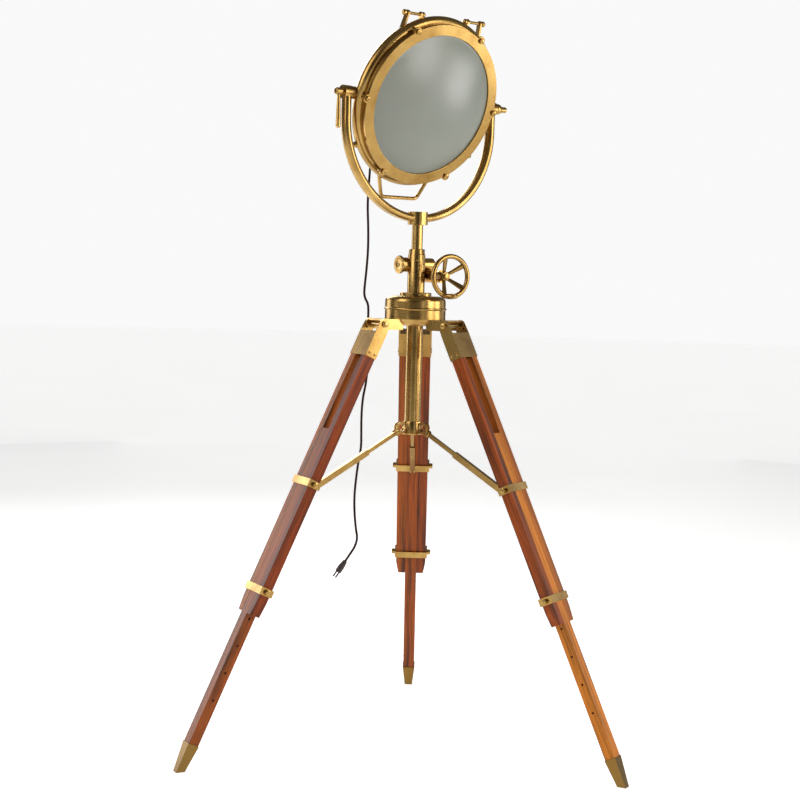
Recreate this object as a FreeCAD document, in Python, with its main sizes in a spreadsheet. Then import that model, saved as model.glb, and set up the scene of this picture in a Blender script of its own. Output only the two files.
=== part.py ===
import FreeCAD, Part
import math
import os

import Sketcher
from FreeCAD import Placement, Rotation, Vector

# Tripod spotlight floor lamp: a brass searchlight head in a yoke, on a rising
# stem driven by a handwheel, over three extending wooden legs.
# The origin lies on the floor under the middle of the three feet, +Z is up and
# the lamp is looked at from -Y. Lengths are in millimetres.

SIZES = {
    # tripod
    "foot_radius": 600.0,        # column axis to the tip of a foot, on the floor
    "pin_radius": 105.4,         # column axis to a leg's hinge pin
    "pin_height": 1053.6,        # floor to the hinge pins
    "rail_width": 24.5,          # one of a leg's two outer rails, across the leg
    "rail_depth": 26.5,
    "rail_top": 26.0,            # hinge pin to the upper end of the rails
    "rail_end": 764.0,           # hinge pin to the lower end of the rails
    "rail_taper": 6.0,           # what the outer side loses over the last stretch
    "rail_taper_length": 36.0,
    "slider_width": 30.4,
    "slider_depth": 25.9,
    "slider_top": 285.0,         # hinge pin to the upper end of the slider, at rest
    "slide_gap": 0.3,
    "peg_hole_radius": 3.0,
    "peg_hole_first": 775.0,
    "peg_hole_pitch": 69.0,
    "ferrule_length": 70.0,
    "ferrule_wall": 1.5,
    "ferrule_tip": 17.0,
    "tenon_inset": 4.0,          # step from the slider to its tenon in the ferrule
    "tenon_length": 34.0,
    "cap_length": 88.0,          # hinge pin to the lower edge of the leg cap
    "cap_wall": 2.0,
    "cap_window": 18.0,          # height of the bridge over the cap's open channel
    "cheek_thickness": 4.0,
    "cheek_radius": 14.0,
    "bracket_thickness": 4.0,
    "bracket_radius": 13.0,
    "leg_pin_radius": 5.0,
    "leg_pin_head_radius": 8.0,
    "leg_pin_head": 4.0,
    "running_gap": 0.05,         # radial clearance of a turning or sliding fit
    "side_gap": 0.3,             # clearance between faces that pass each other
    "band_height": 18.5,
    "band_thickness": 4.0,
    "upper_band": 424.0,         # hinge pin to the middle of each band
    "lower_band": 702.0,
    "bolt_head_radius": 7.0,
    "bolt_head": 7.0,
    "lug_reach": 16.0,           # how far a band's lugs stand out to the arm
    "lug_thickness": 3.0,
    # spreader
    "tube_radius": 20.5,
    "tube_bore": 16.0,
    "tube_below_pins": 4.0,      # the base tube's end, below the arms' inner pins
    "spreader_pin_radius": 45.0,  # column axis to the inner pins of the arms
    "spreader_drop": 268.6,      # hinge pins of the legs down to the inner pins of the arms
    "spreader_rise": 29.0,       # the spreader hub's top, above the arms' inner pins
    "spreader_wall": 3.0,
    "ear_thickness": 3.0,
    "ear_radius": 8.0,
    "arm_pin_radius": 2.5,
    "arm_width": 8.0,
    "arm_depth": 9.5,
    "arm_length": 150.0,
    "sleeve_width": 12.6,
    "sleeve_depth": 14.3,
    "sleeve_length": 150.0,
    "tab_length": 14.0,
    "tab_thickness": 6.0,
    # hub
    "skirt_radius": 75.0,
    "skirt_drop": 2.8,           # hinge pins down to the skirt's lower edge
    "skirt_lip": 16.0,           # lower edge up to the skirt's straight side
    "skirt_floor_radius": 58.0,
    "skirt_side": 22.0,          # straight side, up to the bead between skirt and dome
    "bead_radius": 3.0,
    "hub_wall": 5.0,
    "dome_height": 34.7,
    "dome_round": 14.0,
    # column and stem
    "flange_radius": 39.0,
    "flange_height": 8.4,
    "spigot_radius": 18.0,
    "spigot_length": 26.0,
    "column_radius": 21.2,
    "column_height": 106.6,
    "collar_height": 14.2,
    "collar_lip": 2.0,
    "stem_radius": 13.5,
    "stem_length": 420.0,
    "tee_radius": 24.5,
    "stem_reach": 59.3,          # what shows of the stem between column and tee
    "tee_height": 31.5,
    # lifting gear
    "gear_azimuth": 33.0,        # turn of the gear housing about the column
    "gear_rise": 67.7,           # flange up to the pinion axis
    "gear_offset": 19.0,         # stem axis to pinion axis
    "gear_module": 1.0,
    "pinion_teeth": 15,
    "pinion_width": 7.4,
    "rack_width": 8.0,
    "rack_thickness": 3.4,
    "barrel_radius": 18.0,
    "barrel_left": 36.0,
    "barrel_right": 56.0,
    "barrel_wall": 4.0,
    "barrel_cap_radius": 22.5,
    "barrel_cap_thickness": 5.0,
    "shaft_radius": 5.0,
    "worm_barrel_radius": 16.0,
    "worm_barrel_side": 38.0,    # column axis to the wheel shaft, sideways
    "worm_barrel_drop": 26.6,    # pinion axis down to the wheel shaft
    "worm_barrel_back": 34.0,
    "worm_barrel_front": 60.0,
    "wheel_radius": 50.5,
    "wheel_rim": 4.6,
    "wheel_dish": 28.0,          # hub face to the plane of the rim
    "wheel_hub_radius": 11.0,
    "wheel_hub_length": 16.0,
    "spoke_radius": 3.6,
    "spoke_count": 5,
    "crank_radius": 4.6,
    "crank_length": 58.0,
    # yoke
    "yoke_seat": 15.7,           # the tee's foot up to the lowest point of the yoke's middle
    "head_turn": 40.42,          # degrees about the column, towards +X
    "head_tilt": 20.28,          # degrees, nose down
    "yoke_clearance": 31.0,      # the ring's edge out to the yoke's middle
    "yoke_drop": 59.0,
    "yoke_bar_depth": 19.5,
    "yoke_bar_width": 27.0,
    "boss_radius": 16.0,
    "boss_reach": 12.7,          # the yoke's middle out to its boss's face
    "trunnion_radius": 8.0,
    "trunnion_collar": 15.0,
    "lever_hub_radius": 8.5,
    "lever_hub_length": 20.0,
    "lever_length": 80.0,
    "lever_top_radius": 4.0,
    "lever_end_radius": 6.0,
    "knob_ball_radius": 14.0,
    "knob_stub_radius": 7.5,
    "knob_stub_length": 17.0,
    # lamp head, measured forward from the pivot and out from the lens axis
    "glass_radius": 177.0,
    "glass_front": 43.0,
    "glass_thickness": 4.0,
    "glass_bulge": 30.0,
    "bezel_overlap": 5.0,        # how far the bezel laps over the glass
    "bezel_lip": 1.3,            # what the bezel stands out past the ring
    "bezel_thickness": 4.0,
    "clamp_offset": 1.0,         # clamp screws, out past the ring
    "clamp_ear_radius": 11.0,
    "clamp_boss_radius": 6.5,
    "clamp_boss_back": 20.0,
    "screw_head_radius": 6.75,
    "screw_head": 5.0,
    "clamp_count": 6,
    "gasket_thickness": 1.5,
    "ring_wall": 20.0,           # from the glass's edge out to the ring
    "ring_back": 29.0,
    "flange_roll": 14.0,         # radius of the rolled flange behind the ring
    "shell_wall": 2.0,
    "dome_depth": 95.0,
    "dome_curve": 220.0,
    "rear_boss_radius": 40.0,
    "rear_boss_depth": 16.0,
    "gland_radius": 11.0,
    "gland_tip_radius": 5.5,
    "gland_length": 26.0,
    "cord_diameter": 6.0,
    "reflector_gap": 4.0,
    "reflector_wall": 1.5,
    "holder_radius": 19.0,
    "holder_length": 40.0,
    "bulb_radius": 30.0,
    "bulb_neck_radius": 13.0,
    "bulb_length": 84.0,
    # grab brackets and bail on the head
    "rod_clearance": 8.5,        # grab rods above the ring
    "rod_inner": 74.0,
    "rod_outer": 116.0,
    "rod_radius": 3.5,
    "rod_head_radius": 7.0,
    "strap_thickness": 5.0,
    "strap_width": 14.0,
    "strap_plane": 8.0,
    "side_lug_angle": 215.0,
    "side_lug_reach": 22.0,      # side lugs' rods, out past the ring
    "bail_radius": 4.7,
    "bail_clearance": 50.0,      # the bail's bar, out past the ring
    "bail_half_length": 56.0,
    "bail_end_x": 79.0,
    "bail_end_y": 190.0,
    "bail_plane": 8.0,
    "bail_bend": 16.0,
    # plug
    "plug_radius": 8.0,
    "plug_length": 34.0,
    "plug_pin_radius": 2.0,
    "plug_pin_length": 16.0,
    "plug_pin_spacing": 7.0,
}

document = FreeCAD.newDocument("spotlight_floor_lamp")
sheet = document.addObject("Spreadsheet::Sheet", "Sizes")
for row, (alias, number) in enumerate(SIZES.items(), 1):
    sheet.set(f"A{row}", alias)
    sheet.set(f"B{row}", str(number))
    sheet.setAlias(f"B{row}", alias)
document.recompute()


class Size:
    """A number together with the sheet formula that gives it."""

    def __init__(self, value, formula):
        self.value = float(value)
        self.formula = formula

    def joined(self, sign, other, value):
        return Size(value, f"({self.formula} {sign} {as_size(other).formula})")

    def __add__(self, other):
        return self.joined("+", other, self.value + as_size(other).value)

    def __sub__(self, other):
        return self.joined("-", other, self.value - as_size(other).value)

    def __mul__(self, other):
        return self.joined("*", other, self.value * as_size(other).value)

    def __truediv__(self, other):
        return self.joined("/", other, self.value / as_size(other).value)

    def __neg__(self):
        return Size(-self.value, f"(0 - {self.formula})")

    def __radd__(self, other):
        return as_size(other) + self

    def __rsub__(self, other):
        return as_size(other) - self

    def __rmul__(self, other):
        return as_size(other) * self

    def __float__(self):
        return self.value


def as_size(number):
    if isinstance(number, Size):
        return number
    return Size(number, f"({float(number)!r})")


def root(size):
    return Size(math.sqrt(size.value), f"sqrt({size.formula})")


def size_of(alias):
    return Size(SIZES[alias], f"Sizes.{alias}")


class SheetSizes:
    """Every alias of the sheet as an attribute."""

    def __getattr__(self, alias):
        return size_of(alias)


S = SheetSizes()
ZERO = as_size(0)


def spot(x, y, z):
    """A point from three sizes."""
    return Vector(float(x), float(y), float(z))


def turn(axis, degrees):
    return Rotation(Vector(*axis), float(degrees))


X_AXIS = (1, 0, 0)
Y_AXIS = (0, 1, 0)
Z_AXIS = (0, 0, 1)


def place(x=0, y=0, z=0, rotation=None):
    return Placement(spot(x, y, z), rotation or Rotation())


def bind(item, **sizes):
    """Tie properties of an object to the sheet."""
    for name, size in sizes.items():
        item.setExpression(name, as_size(size).formula)


def primitive(kind, name, at, **sizes):
    item = document.addObject(f"Part::{kind}", name)
    bind(item, **sizes)
    item.Placement = at
    return item


def rod(name, radius, length, at=None, axis=Z_AXIS):
    """A cylinder that starts at a point and runs along an axis."""
    at = at or Vector()
    rotation = Rotation(Vector(0, 0, 1), Vector(*axis))
    return primitive("Cylinder", name, Placement(at, rotation), Radius=radius, Height=length)


def block(name, x_size, y_size, z_size, middle=None):
    """A box about its middle."""
    middle = middle or Vector()
    corner = middle - spot(x_size, y_size, z_size) / 2
    return primitive("Box", name, Placement(corner, Rotation()), Length=x_size, Width=y_size, Height=z_size)


def cone(name, radius, end_radius, length, at=None, axis=Z_AXIS):
    at = at or Vector()
    rotation = Rotation(Vector(0, 0, 1), Vector(*axis))
    return primitive("Cone", name, Placement(at, rotation), Radius1=radius, Radius2=end_radius, Height=length)


def ball(name, radius, at):
    return primitive("Sphere", name, Placement(at, Rotation()), Radius=radius)


def ring(name, radius, tube, at, axis=Z_AXIS):
    rotation = Rotation(Vector(0, 0, 1), Vector(*axis))
    return primitive("Torus", name, Placement(at, rotation), Radius1=radius, Radius2=tube)


def fuse(name, items):
    item = document.addObject("Part::MultiFuse", name)
    item.Shapes = items
    item.Refine = True
    return item


def cut(name, base, tool):
    item = document.addObject("Part::Cut", name)
    item.Base = base
    item.Tool = tool
    item.Refine = True
    return item


def cut_all(name, base, tools):
    if len(tools) > 1:
        return cut(name, base, fuse(name + "_tools", tools))
    return cut(name, base, tools[0])


def group(name, items):
    """Separate solids that share one node."""
    item = document.addObject("Part::Compound", name)
    item.Links = items
    return item


def origin_plane(body, role):
    return next(feature for feature in body.Origin.OriginFeatures if feature.Role == role)


def hold_point(sketch, geometry, end, x, y):
    """Tie one end of a sketch line to a place given by two sizes."""
    for size, kind, axis in ((as_size(x), "DistanceX", -2), (as_size(y), "DistanceY", -1)):
        if abs(size.value) < 1e-9:
            sketch.addConstraint(Sketcher.Constraint("PointOnObject", geometry, end, axis))
            continue
        index = sketch.addConstraint(Sketcher.Constraint(kind, -1, 1, geometry, end, size.value))
        sketch.setExpression(f"Constraints[{index}]", size.formula)


def arc_middle(start, finish, radius):
    """The middle of an arc; a positive radius bulges to the right of the way."""
    chord = finish - start
    half = chord.Length / 2
    rise = abs(radius) - math.sqrt(max(radius * radius - half * half, 0.0))
    side = Vector(chord.y, -chord.x, 0).normalize()
    return (start + finish) / 2 + side * math.copysign(rise, radius)


def outline(sketch, corners, closed=True):
    """Draw through corners (x, y) or, reached by an arc, (x, y, radius)."""
    spots = [Vector(float(corner[0]), float(corner[1]), 0) for corner in corners]
    ends = []
    for index, corner in enumerate(corners):
        if index == 0 and not closed:
            continue
        start, finish = spots[index - 1], spots[index]
        if len(corner) < 3:
            ends.append((sketch.addGeometry(Part.LineSegment(start, finish)), 1, 2))
            continue
        radius = as_size(corner[2])
        middle = arc_middle(start, finish, radius.value)
        line = sketch.addGeometry(Part.Arc(start, middle, finish))
        turned = (sketch.getPoint(line, 1) - start).Length > 1e-6
        ends.append((line, 2, 1) if turned else (line, 1, 2))
        bend = sketch.addConstraint(Sketcher.Constraint("Radius", line, abs(radius.value)))
        formula = radius.formula if radius.value > 0 else (-radius).formula
        sketch.setExpression(f"Constraints[{bend}]", formula)
    joins = ends if closed else ends[:-1]
    for index, (line, _, finish) in enumerate(joins):
        following, start, _ = ends[(index + 1) % len(ends)]
        sketch.addConstraint(Sketcher.Constraint("Coincident", line, finish, following, start))
    for (line, _, finish), corner in zip(reversed(ends), reversed(corners)):
        hold_point(sketch, line, finish, corner[0], corner[1])
    if not closed:
        hold_point(sketch, ends[0][0], ends[0][1], corners[0][0], corners[0][1])


def circle(sketch, x, y, radius):
    middle = Vector(float(x), float(y), 0)
    line = sketch.addGeometry(Part.Circle(middle, Vector(0, 0, 1), float(radius)))
    index = sketch.addConstraint(Sketcher.Constraint("Radius", line, float(radius)))
    sketch.setExpression(f"Constraints[{index}]", as_size(radius).formula)
    hold_point(sketch, line, 3, x, y)


def sketch_on(body, name, role):
    sketch = body.newObject("Sketcher::SketchObject", name)
    sketch.AttachmentSupport = [(origin_plane(body, role), "")]
    sketch.MapMode = "FlatFace"
    return sketch


def lathe(name, corners):
    """A turned piece: corners are (radius, height), the axis is Z."""
    body = document.addObject("PartDesign::Body", name)
    profile = sketch_on(body, name + "_profile", "XZ_Plane")
    outline(profile, corners)
    turned = body.newObject("PartDesign::Revolution", name + "_turned")
    turned.Profile = profile
    turned.ReferenceAxis = (profile, ["V_Axis"])
    turned.Angle = 360
    profile.Visibility = False
    return body


def plate(name, corners, thickness, role="XY_Plane", holes=()):
    """A plate about its sketch plane, with round holes (x, y, radius)."""
    body = document.addObject("PartDesign::Body", name)
    profile = sketch_on(body, name + "_outline", role)
    outline(profile, corners)
    for hole in holes:
        circle(profile, *hole)
    pad = body.newObject("PartDesign::Pad", name + "_pad")
    pad.Profile = profile
    pad.SideType = "Symmetric"
    bind(pad, Length=thickness)
    return body


PARTS = []


def part(label, item, frame):
    """Name a sub-part and put it at its place in the lamp."""
    item.Label = label
    item.Placement = frame.multiply(item.Placement)
    PARTS.append(item)
    return item


# ---------------------------------------------------------------- places that follow

# Heights stack up from the hinge pins, and the head's rings grow out from the glass.
spreader_pin_height = S.pin_height - S.spreader_drop
tube_bottom = spreader_pin_height - S.tube_below_pins
spreader_top = spreader_pin_height + S.spreader_rise
skirt_bottom = S.pin_height - S.skirt_drop
skirt_edge = skirt_bottom + S.skirt_lip
hub_joint = skirt_edge + S.skirt_side
dome_top = hub_joint + S.dome_height
flange_top = dome_top + S.flange_height
column_top = flange_top + S.column_height
gear_height = flange_top + S.gear_rise
tee_bottom = column_top + S.stem_reach
ring_radius = S.glass_radius + S.ring_wall
bezel_radius = ring_radius + S.bezel_lip
bezel_bore = S.glass_radius - S.bezel_overlap
clamp_circle = ring_radius + S.clamp_offset
rod_height = ring_radius + S.rod_clearance
side_lug_radius = ring_radius + S.side_lug_reach
bail_drop = ring_radius + S.bail_clearance
yoke_half_width = ring_radius + S.yoke_clearance
boss_outer = yoke_half_width + S.boss_reach
pivot_height = tee_bottom + S.yoke_seat + S.yoke_drop + yoke_half_width


# ---------------------------------------------------------------- frames

column_y = -SIZES["foot_radius"] / 4
LAMP = place(0, column_y, 0)
splay = math.degrees(math.atan2(SIZES["foot_radius"] - SIZES["pin_radius"], SIZES["pin_height"]))
leg_run = S.foot_radius - S.pin_radius
leg_length = root(leg_run * leg_run + S.pin_height * S.pin_height)
LEGS = {"left": 210, "right": 330, "back": 90}


def side_frame(azimuth):
    """At the hinge pin of a leg: Y points away from the column, Z up."""
    return LAMP * place(rotation=turn(Z_AXIS, azimuth - 90)) * place(0, S.pin_radius, S.pin_height)


def leg_frame(azimuth):
    """At the hinge pin: Z runs up the leg, Y out of its outer face."""
    return side_frame(azimuth) * place(rotation=turn(X_AXIS, splay))


def level(length):
    """A point of the leg at a length down from its pin."""
    return Vector(0, 0, -float(length))


# ---------------------------------------------------------------- legs

pair_width = 2 * S.rail_width + S.slider_width + 2 * S.slide_gap
rail_middle = pair_width / 2 - S.rail_width / 2
cap_width = pair_width + 2 * S.cap_wall
cap_depth = S.rail_depth + 2 * S.cap_wall
band_width = pair_width + 2 * S.band_thickness
band_depth = S.rail_depth + 2 * S.band_thickness
cheek_middle = cap_width / 2 - S.cheek_thickness / 2


def rails(name):
    boards = []
    for side, word in ((-1, "a"), (1, "b")):
        inner = side * (pair_width / 2 - S.rail_width)
        outer = side * (pair_width / 2)
        nose = side * (pair_width / 2 - S.rail_taper)
        corners = [(inner, -S.rail_end), (nose, -S.rail_end), (outer, S.rail_taper_length - S.rail_end),
                   (outer, -S.rail_top), (inner, -S.rail_top)]
        board = plate(f"{name}_{word}", corners, S.rail_depth, "XZ_Plane")
        boards.append(board)
    return group(name, boards)


def slider(name):
    length = leg_length - S.ferrule_length - S.slider_top
    body = block(name + "_bar", S.slider_width, S.slider_depth, length,
                 level(S.slider_top + length / 2))
    tenon = block(name + "_tenon", S.slider_width - 2 * S.tenon_inset, S.slider_depth - 2 * S.tenon_inset,
                  S.tenon_length, level(S.slider_top + length + S.tenon_length / 2))
    holes = []
    for index in range(4):
        height = level(S.peg_hole_first + S.peg_hole_pitch * index)
        start = height - spot(S.slider_width, 0, 0)
        holes.append(rod(f"{name}_hole_{index}", S.peg_hole_radius, 2 * S.slider_width, start, X_AXIS))
    return cut_all(name, fuse(name + "_body", [body, tenon]), holes)


def ferrule(name):
    """A tapered metal foot, cut level with the floor."""
    top_x = S.slider_width / 2 + S.ferrule_wall
    top_y = S.slider_depth / 2 + S.ferrule_wall
    spare = S.ferrule_tip
    length = S.ferrule_length + spare
    shrink = S.ferrule_tip / 2
    foot = document.addObject("Part::Wedge", name + "_taper")
    bind(foot, Xmin=-top_x, Xmax=top_x, Zmin=-top_y, Zmax=top_y, Ymin=0, Ymax=length,
         X2min=-shrink, X2max=shrink, Z2min=-shrink, Z2max=shrink)
    top = leg_length - S.ferrule_length
    foot.Placement = Placement(level(top), turn(X_AXIS, -90))
    socket = block(name + "_socket", S.slider_width - 2 * S.tenon_inset, S.slider_depth - 2 * S.tenon_inset,
                   S.tenon_length, level(top + S.tenon_length / 2))
    floor = block(name + "_floor", 4 * S.slider_width, 4 * S.slider_width, 4 * S.slider_width,
                  Vector(0, 0, -2 * SIZES["slider_width"]))
    tip = Placement(level(leg_length), turn(X_AXIS, -splay))
    floor.Placement = tip * floor.Placement
    return cut_all(name, foot, [socket, floor])


def cheek(name, thickness, radius, depth, edge, middle):
    """A side plate with a round end about the hinge pin, in the YZ plane."""
    half = depth / 2
    corners = [(half, -edge), (radius, ZERO), (ZERO, radius, radius), (-radius, ZERO, radius), (-half, -edge)]
    hole = (ZERO, ZERO, S.leg_pin_radius + S.running_gap)
    item = plate(name, corners, thickness, "YZ_Plane", [hole])
    item.Placement = place(x=middle)
    return item


def cap(name):
    """The brass clevis that holds the rails and hangs on the hinge pin."""
    height = S.cap_length - S.rail_top + S.cap_wall
    top = S.rail_top - S.cap_wall
    shell = block(name + "_shell", cap_width, cap_depth, height, level(top + height / 2))
    cheeks = [cheek(f"{name}_cheek_{word}", S.cheek_thickness, S.cheek_radius, cap_depth, top, side * cheek_middle)
              for side, word in ((-1, "a"), (1, "b"))]
    pockets = []
    pocket = S.cap_length - S.rail_top
    for side in (-1, 1):
        middle = level(S.rail_top + pocket / 2) + spot(side * rail_middle, 0, 0)
        pockets.append(block(f"{name}_pocket_{side + 1}", S.rail_width, S.rail_depth, pocket, middle))
    channel_width = S.slider_width + 2 * S.slide_gap - 2 * S.cap_wall
    channel = height - S.cap_window
    middle = level(top + S.cap_window + channel / 2) + spot(0, S.cap_wall, 0)
    pockets.append(block(name + "_channel", channel_width, cap_depth, channel, middle))
    hollow = level(S.rail_top + pocket / 2)
    pockets.append(block(name + "_hollow", S.slider_width, S.rail_depth, pocket, hollow))
    return cut_all(name, fuse(name + "_body", [shell] + cheeks), pockets)


def band(name, length):
    """A strap round both rails, with a screw head on each side."""
    strap = block(name + "_outside", band_width, band_depth, S.band_height, level(length))
    opening = block(name + "_inside", pair_width, S.rail_depth, 2 * S.band_height, level(length))
    heads = []
    for side in (-1, 1):
        start = level(length) + spot(side * (band_width / 2 - S.band_thickness / 2), 0, 0)
        heads.append(rod(f"{name}_head_{side + 1}", S.bolt_head_radius, S.bolt_head + S.band_thickness / 2,
                         start, (side, 0, 0)))
    return cut(name, fuse(name + "_body", [strap] + heads), opening)


arm_pin_inward = band_depth / 2 + S.lug_reach - S.ear_radius


def bands(name):
    """Both straps; the upper one carries the lugs of the spreader arm."""
    lug_middle = S.tab_thickness / 2 + S.side_gap + S.lug_thickness / 2
    lugs = []
    inner = band_depth / 2 - S.band_thickness / 2
    for side, word in ((-1, "a"), (1, "b")):
        half = S.band_height / 2
        corners = [(-inner, -half - S.upper_band), (-inner, half - S.upper_band),
                   (-arm_pin_inward, S.ear_radius - S.upper_band),
                   (-arm_pin_inward - S.ear_radius, -S.upper_band, S.ear_radius),
                   (-arm_pin_inward, -S.ear_radius - S.upper_band, S.ear_radius)]
        lug = plate(f"{name}_lug_{word}", corners, S.lug_thickness, "YZ_Plane")
        lug.Placement = place(x=side * lug_middle)
        lugs.append(lug)
    upper = fuse(name + "_upper", [band(name + "_upper_strap", S.upper_band)] + lugs)
    return group(name, [upper, band(name + "_lower", S.lower_band)])


# ---------------------------------------------------------------- spreader

pin_run = S.upper_band * math.sin(math.radians(splay)) - arm_pin_inward * math.cos(math.radians(splay))
pin_fall = S.upper_band * math.cos(math.radians(splay)) + arm_pin_inward * math.sin(math.radians(splay))
arm_end_radius = S.pin_radius.value + pin_run.value
arm_end_height = S.pin_height.value - pin_fall.value
arm_run = arm_end_radius - SIZES["spreader_pin_radius"]
arm_fall = float(spreader_pin_height) - arm_end_height
arm_reach = math.hypot(arm_run, arm_fall)
arm_slope = math.degrees(math.atan2(arm_fall, arm_run))


def arm_frame(azimuth):
    """At the inner pin of a spreader arm: Y runs out along the arm."""
    base = LAMP * place(rotation=turn(Z_AXIS, azimuth - 90))
    pin = place(0, S.spreader_pin_radius, spreader_pin_height)
    return base * pin * place(rotation=turn(X_AXIS, -arm_slope))


def arm(name):
    """A flat bar with a round eye on the inner pin."""
    bar = block(name + "_bar", S.arm_width, S.arm_length, S.arm_depth, Vector(0, SIZES["arm_length"] / 2, 0))
    half = S.arm_width / 2
    eye = rod(name + "_eye", S.arm_depth / 2, S.arm_width, spot(-half, 0, 0), X_AXIS)
    hole = rod(name + "_hole", S.arm_pin_radius + S.running_gap, 2 * S.arm_width, spot(-S.arm_width, 0, 0), X_AXIS)
    return cut(name, fuse(name + "_body", [bar, eye]), hole)


def sleeve(name):
    """A tube that slides on the bar, with a flat tab in the band's lugs."""
    tab_end = arm_reach + float(S.tab_thickness) / 2
    start = tab_end - float(S.tab_length) - float(S.sleeve_length)
    middle = start + float(S.sleeve_length) / 2
    shell = block(name + "_shell", S.sleeve_width, S.sleeve_length, S.sleeve_depth, Vector(0, middle, 0))
    tab_middle = tab_end - float(S.tab_length) / 2
    tab = block(name + "_tab", S.tab_thickness, S.tab_length, S.arm_depth, Vector(0, tab_middle, 0))
    bore_length = S.sleeve_length - S.band_thickness
    bore_middle = start + float(bore_length) / 2
    bore = block(name + "_bore", S.arm_width + 2 * S.side_gap, bore_length, S.arm_depth + 2 * S.side_gap,
                 Vector(0, bore_middle, 0))
    return cut(name, fuse(name + "_body", [shell, tab]), bore)


def spreader_hub():
    """A collar on the foot of the tube with three pairs of round ears."""
    collar = lathe("spreader_collar", [
        (S.tube_radius, tube_bottom), (S.tube_radius + S.spreader_wall, tube_bottom),
        (S.tube_radius + S.spreader_wall, spreader_top), (S.tube_radius, spreader_top)])
    ear_gap = S.arm_width / 2 + S.side_gap + S.ear_thickness / 2
    ears = []
    for leg, azimuth in LEGS.items():
        for side in (-1, 1):
            root_y = S.tube_radius + S.spreader_wall / 2 - S.spreader_pin_radius
            corners = [(root_y, -S.ear_radius / 2), (ZERO, -S.ear_radius),
                       (S.ear_radius, ZERO, S.ear_radius), (ZERO, S.ear_radius, S.ear_radius),
                       (root_y, S.ear_radius * 3)]
            ear = plate(f"ear_{leg}_{side + 1}", corners, S.ear_thickness, "YZ_Plane",
                        [(ZERO, ZERO, S.arm_pin_radius)])
            turned = place(rotation=turn(Z_AXIS, azimuth - 90))
            ear.Placement = turned * place(side * ear_gap, S.spreader_pin_radius, spreader_pin_height)
            ears.append(ear)
    return fuse("spreader_hub", [collar] + ears)


def arm_pins():
    length = S.arm_width + 2 * S.side_gap + 2 * S.ear_thickness
    pins = []
    for leg, azimuth in LEGS.items():
        stem = rod(f"arm_pin_{leg}_shank", S.arm_pin_radius, length, spot(-length / 2, 0, 0), X_AXIS)
        heads = [rod(f"arm_pin_{leg}_head_{side + 1}", 2 * S.arm_pin_radius, S.arm_pin_radius,
                     spot(side * length / 2, 0, 0), (side, 0, 0)) for side in (-1, 1)]
        pin = fuse(f"arm_pin_{leg}", [stem] + heads)
        turned = place(rotation=turn(Z_AXIS, azimuth - 90))
        pin.Placement = turned * place(0, S.spreader_pin_radius, spreader_pin_height)
        pins.append(pin)
    return group("arm_pins", pins)


# ---------------------------------------------------------------- hub

def skirt_outline(bore):
    """The cast body under the dome, from its floor to the bead."""
    return [(bore, skirt_bottom), (S.skirt_floor_radius, skirt_bottom),
            (S.skirt_radius, skirt_edge, skirt_edge - skirt_bottom + S.bead_radius),
            (S.skirt_radius, hub_joint), (bore, hub_joint)]


def hub_skirt():
    body = lathe("skirt_body", skirt_outline(S.tube_radius))
    inner = S.skirt_floor_radius - S.hub_wall
    hollow = lathe("skirt_hollow", [
        (S.tube_radius + S.hub_wall, skirt_bottom + S.hub_wall), (inner, skirt_bottom + S.hub_wall),
        (S.skirt_radius - S.hub_wall, skirt_edge), (S.skirt_radius - S.hub_wall, hub_joint + S.hub_wall),
        (S.tube_radius + S.hub_wall, hub_joint + S.hub_wall)])
    return cut("hub_skirt", body, hollow)


def hub_dome():
    """The domed cover, bored for the turntable's spigot."""
    bore = S.spigot_radius + S.running_gap
    top_edge = S.skirt_radius - S.dome_round
    inner_round = S.dome_round - S.hub_wall
    roof = dome_top - S.hub_wall
    return lathe("hub_dome", [
        (bore, dome_top - S.spigot_length), (bore + S.hub_wall, dome_top - S.spigot_length),
        (bore + S.hub_wall, roof), (top_edge, roof),
        (S.skirt_radius - S.hub_wall, roof - inner_round, -inner_round),
        (S.skirt_radius - S.hub_wall, hub_joint), (S.skirt_radius, hub_joint),
        (S.skirt_radius, hub_joint + 2 * S.bead_radius, S.bead_radius + S.running_gap),
        (S.skirt_radius, dome_top - S.dome_round), (top_edge, dome_top, S.dome_round),
        (bore, dome_top)])


def leg_brackets():
    """Three forked brackets under the hub: a top web and two round cheeks."""
    envelope = lathe("bracket_seat", skirt_outline(S.tube_radius))
    outside = cap_width / 2 - S.cheek_thickness - S.side_gap
    thickness = S.bracket_thickness
    inward = S.skirt_floor_radius - S.pin_radius - thickness
    forks = []
    for leg, azimuth in LEGS.items():
        sides = []
        for side, word in ((-1, "a"), (1, "b")):
            corners = [(inward, -S.bracket_radius), (ZERO, -S.bracket_radius),
                       (S.bracket_radius, ZERO, S.bracket_radius),
                       (ZERO, S.bracket_radius, S.bracket_radius), (inward, S.bracket_radius)]
            hole = (ZERO, ZERO, S.leg_pin_radius)
            wall = plate(f"bracket_{leg}_{word}", corners, thickness, "YZ_Plane", [hole])
            wall.Placement = place(x=side * (outside - thickness / 2))
            sides.append(wall)
        web_length = S.bracket_radius / 2 - inward
        middle = spot(0, inward + web_length / 2, S.bracket_radius - thickness / 2)
        sides.append(block(f"bracket_{leg}_web", 2 * outside, web_length, thickness, middle))
        fork = fuse(f"bracket_{leg}_fork", sides)
        turned = place(rotation=turn(Z_AXIS, azimuth - 90))
        fork.Placement = turned * place(0, S.pin_radius, S.pin_height)
        forks.append(cut(f"bracket_{leg}", fork, envelope))
    return group("leg_brackets", forks)


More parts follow.
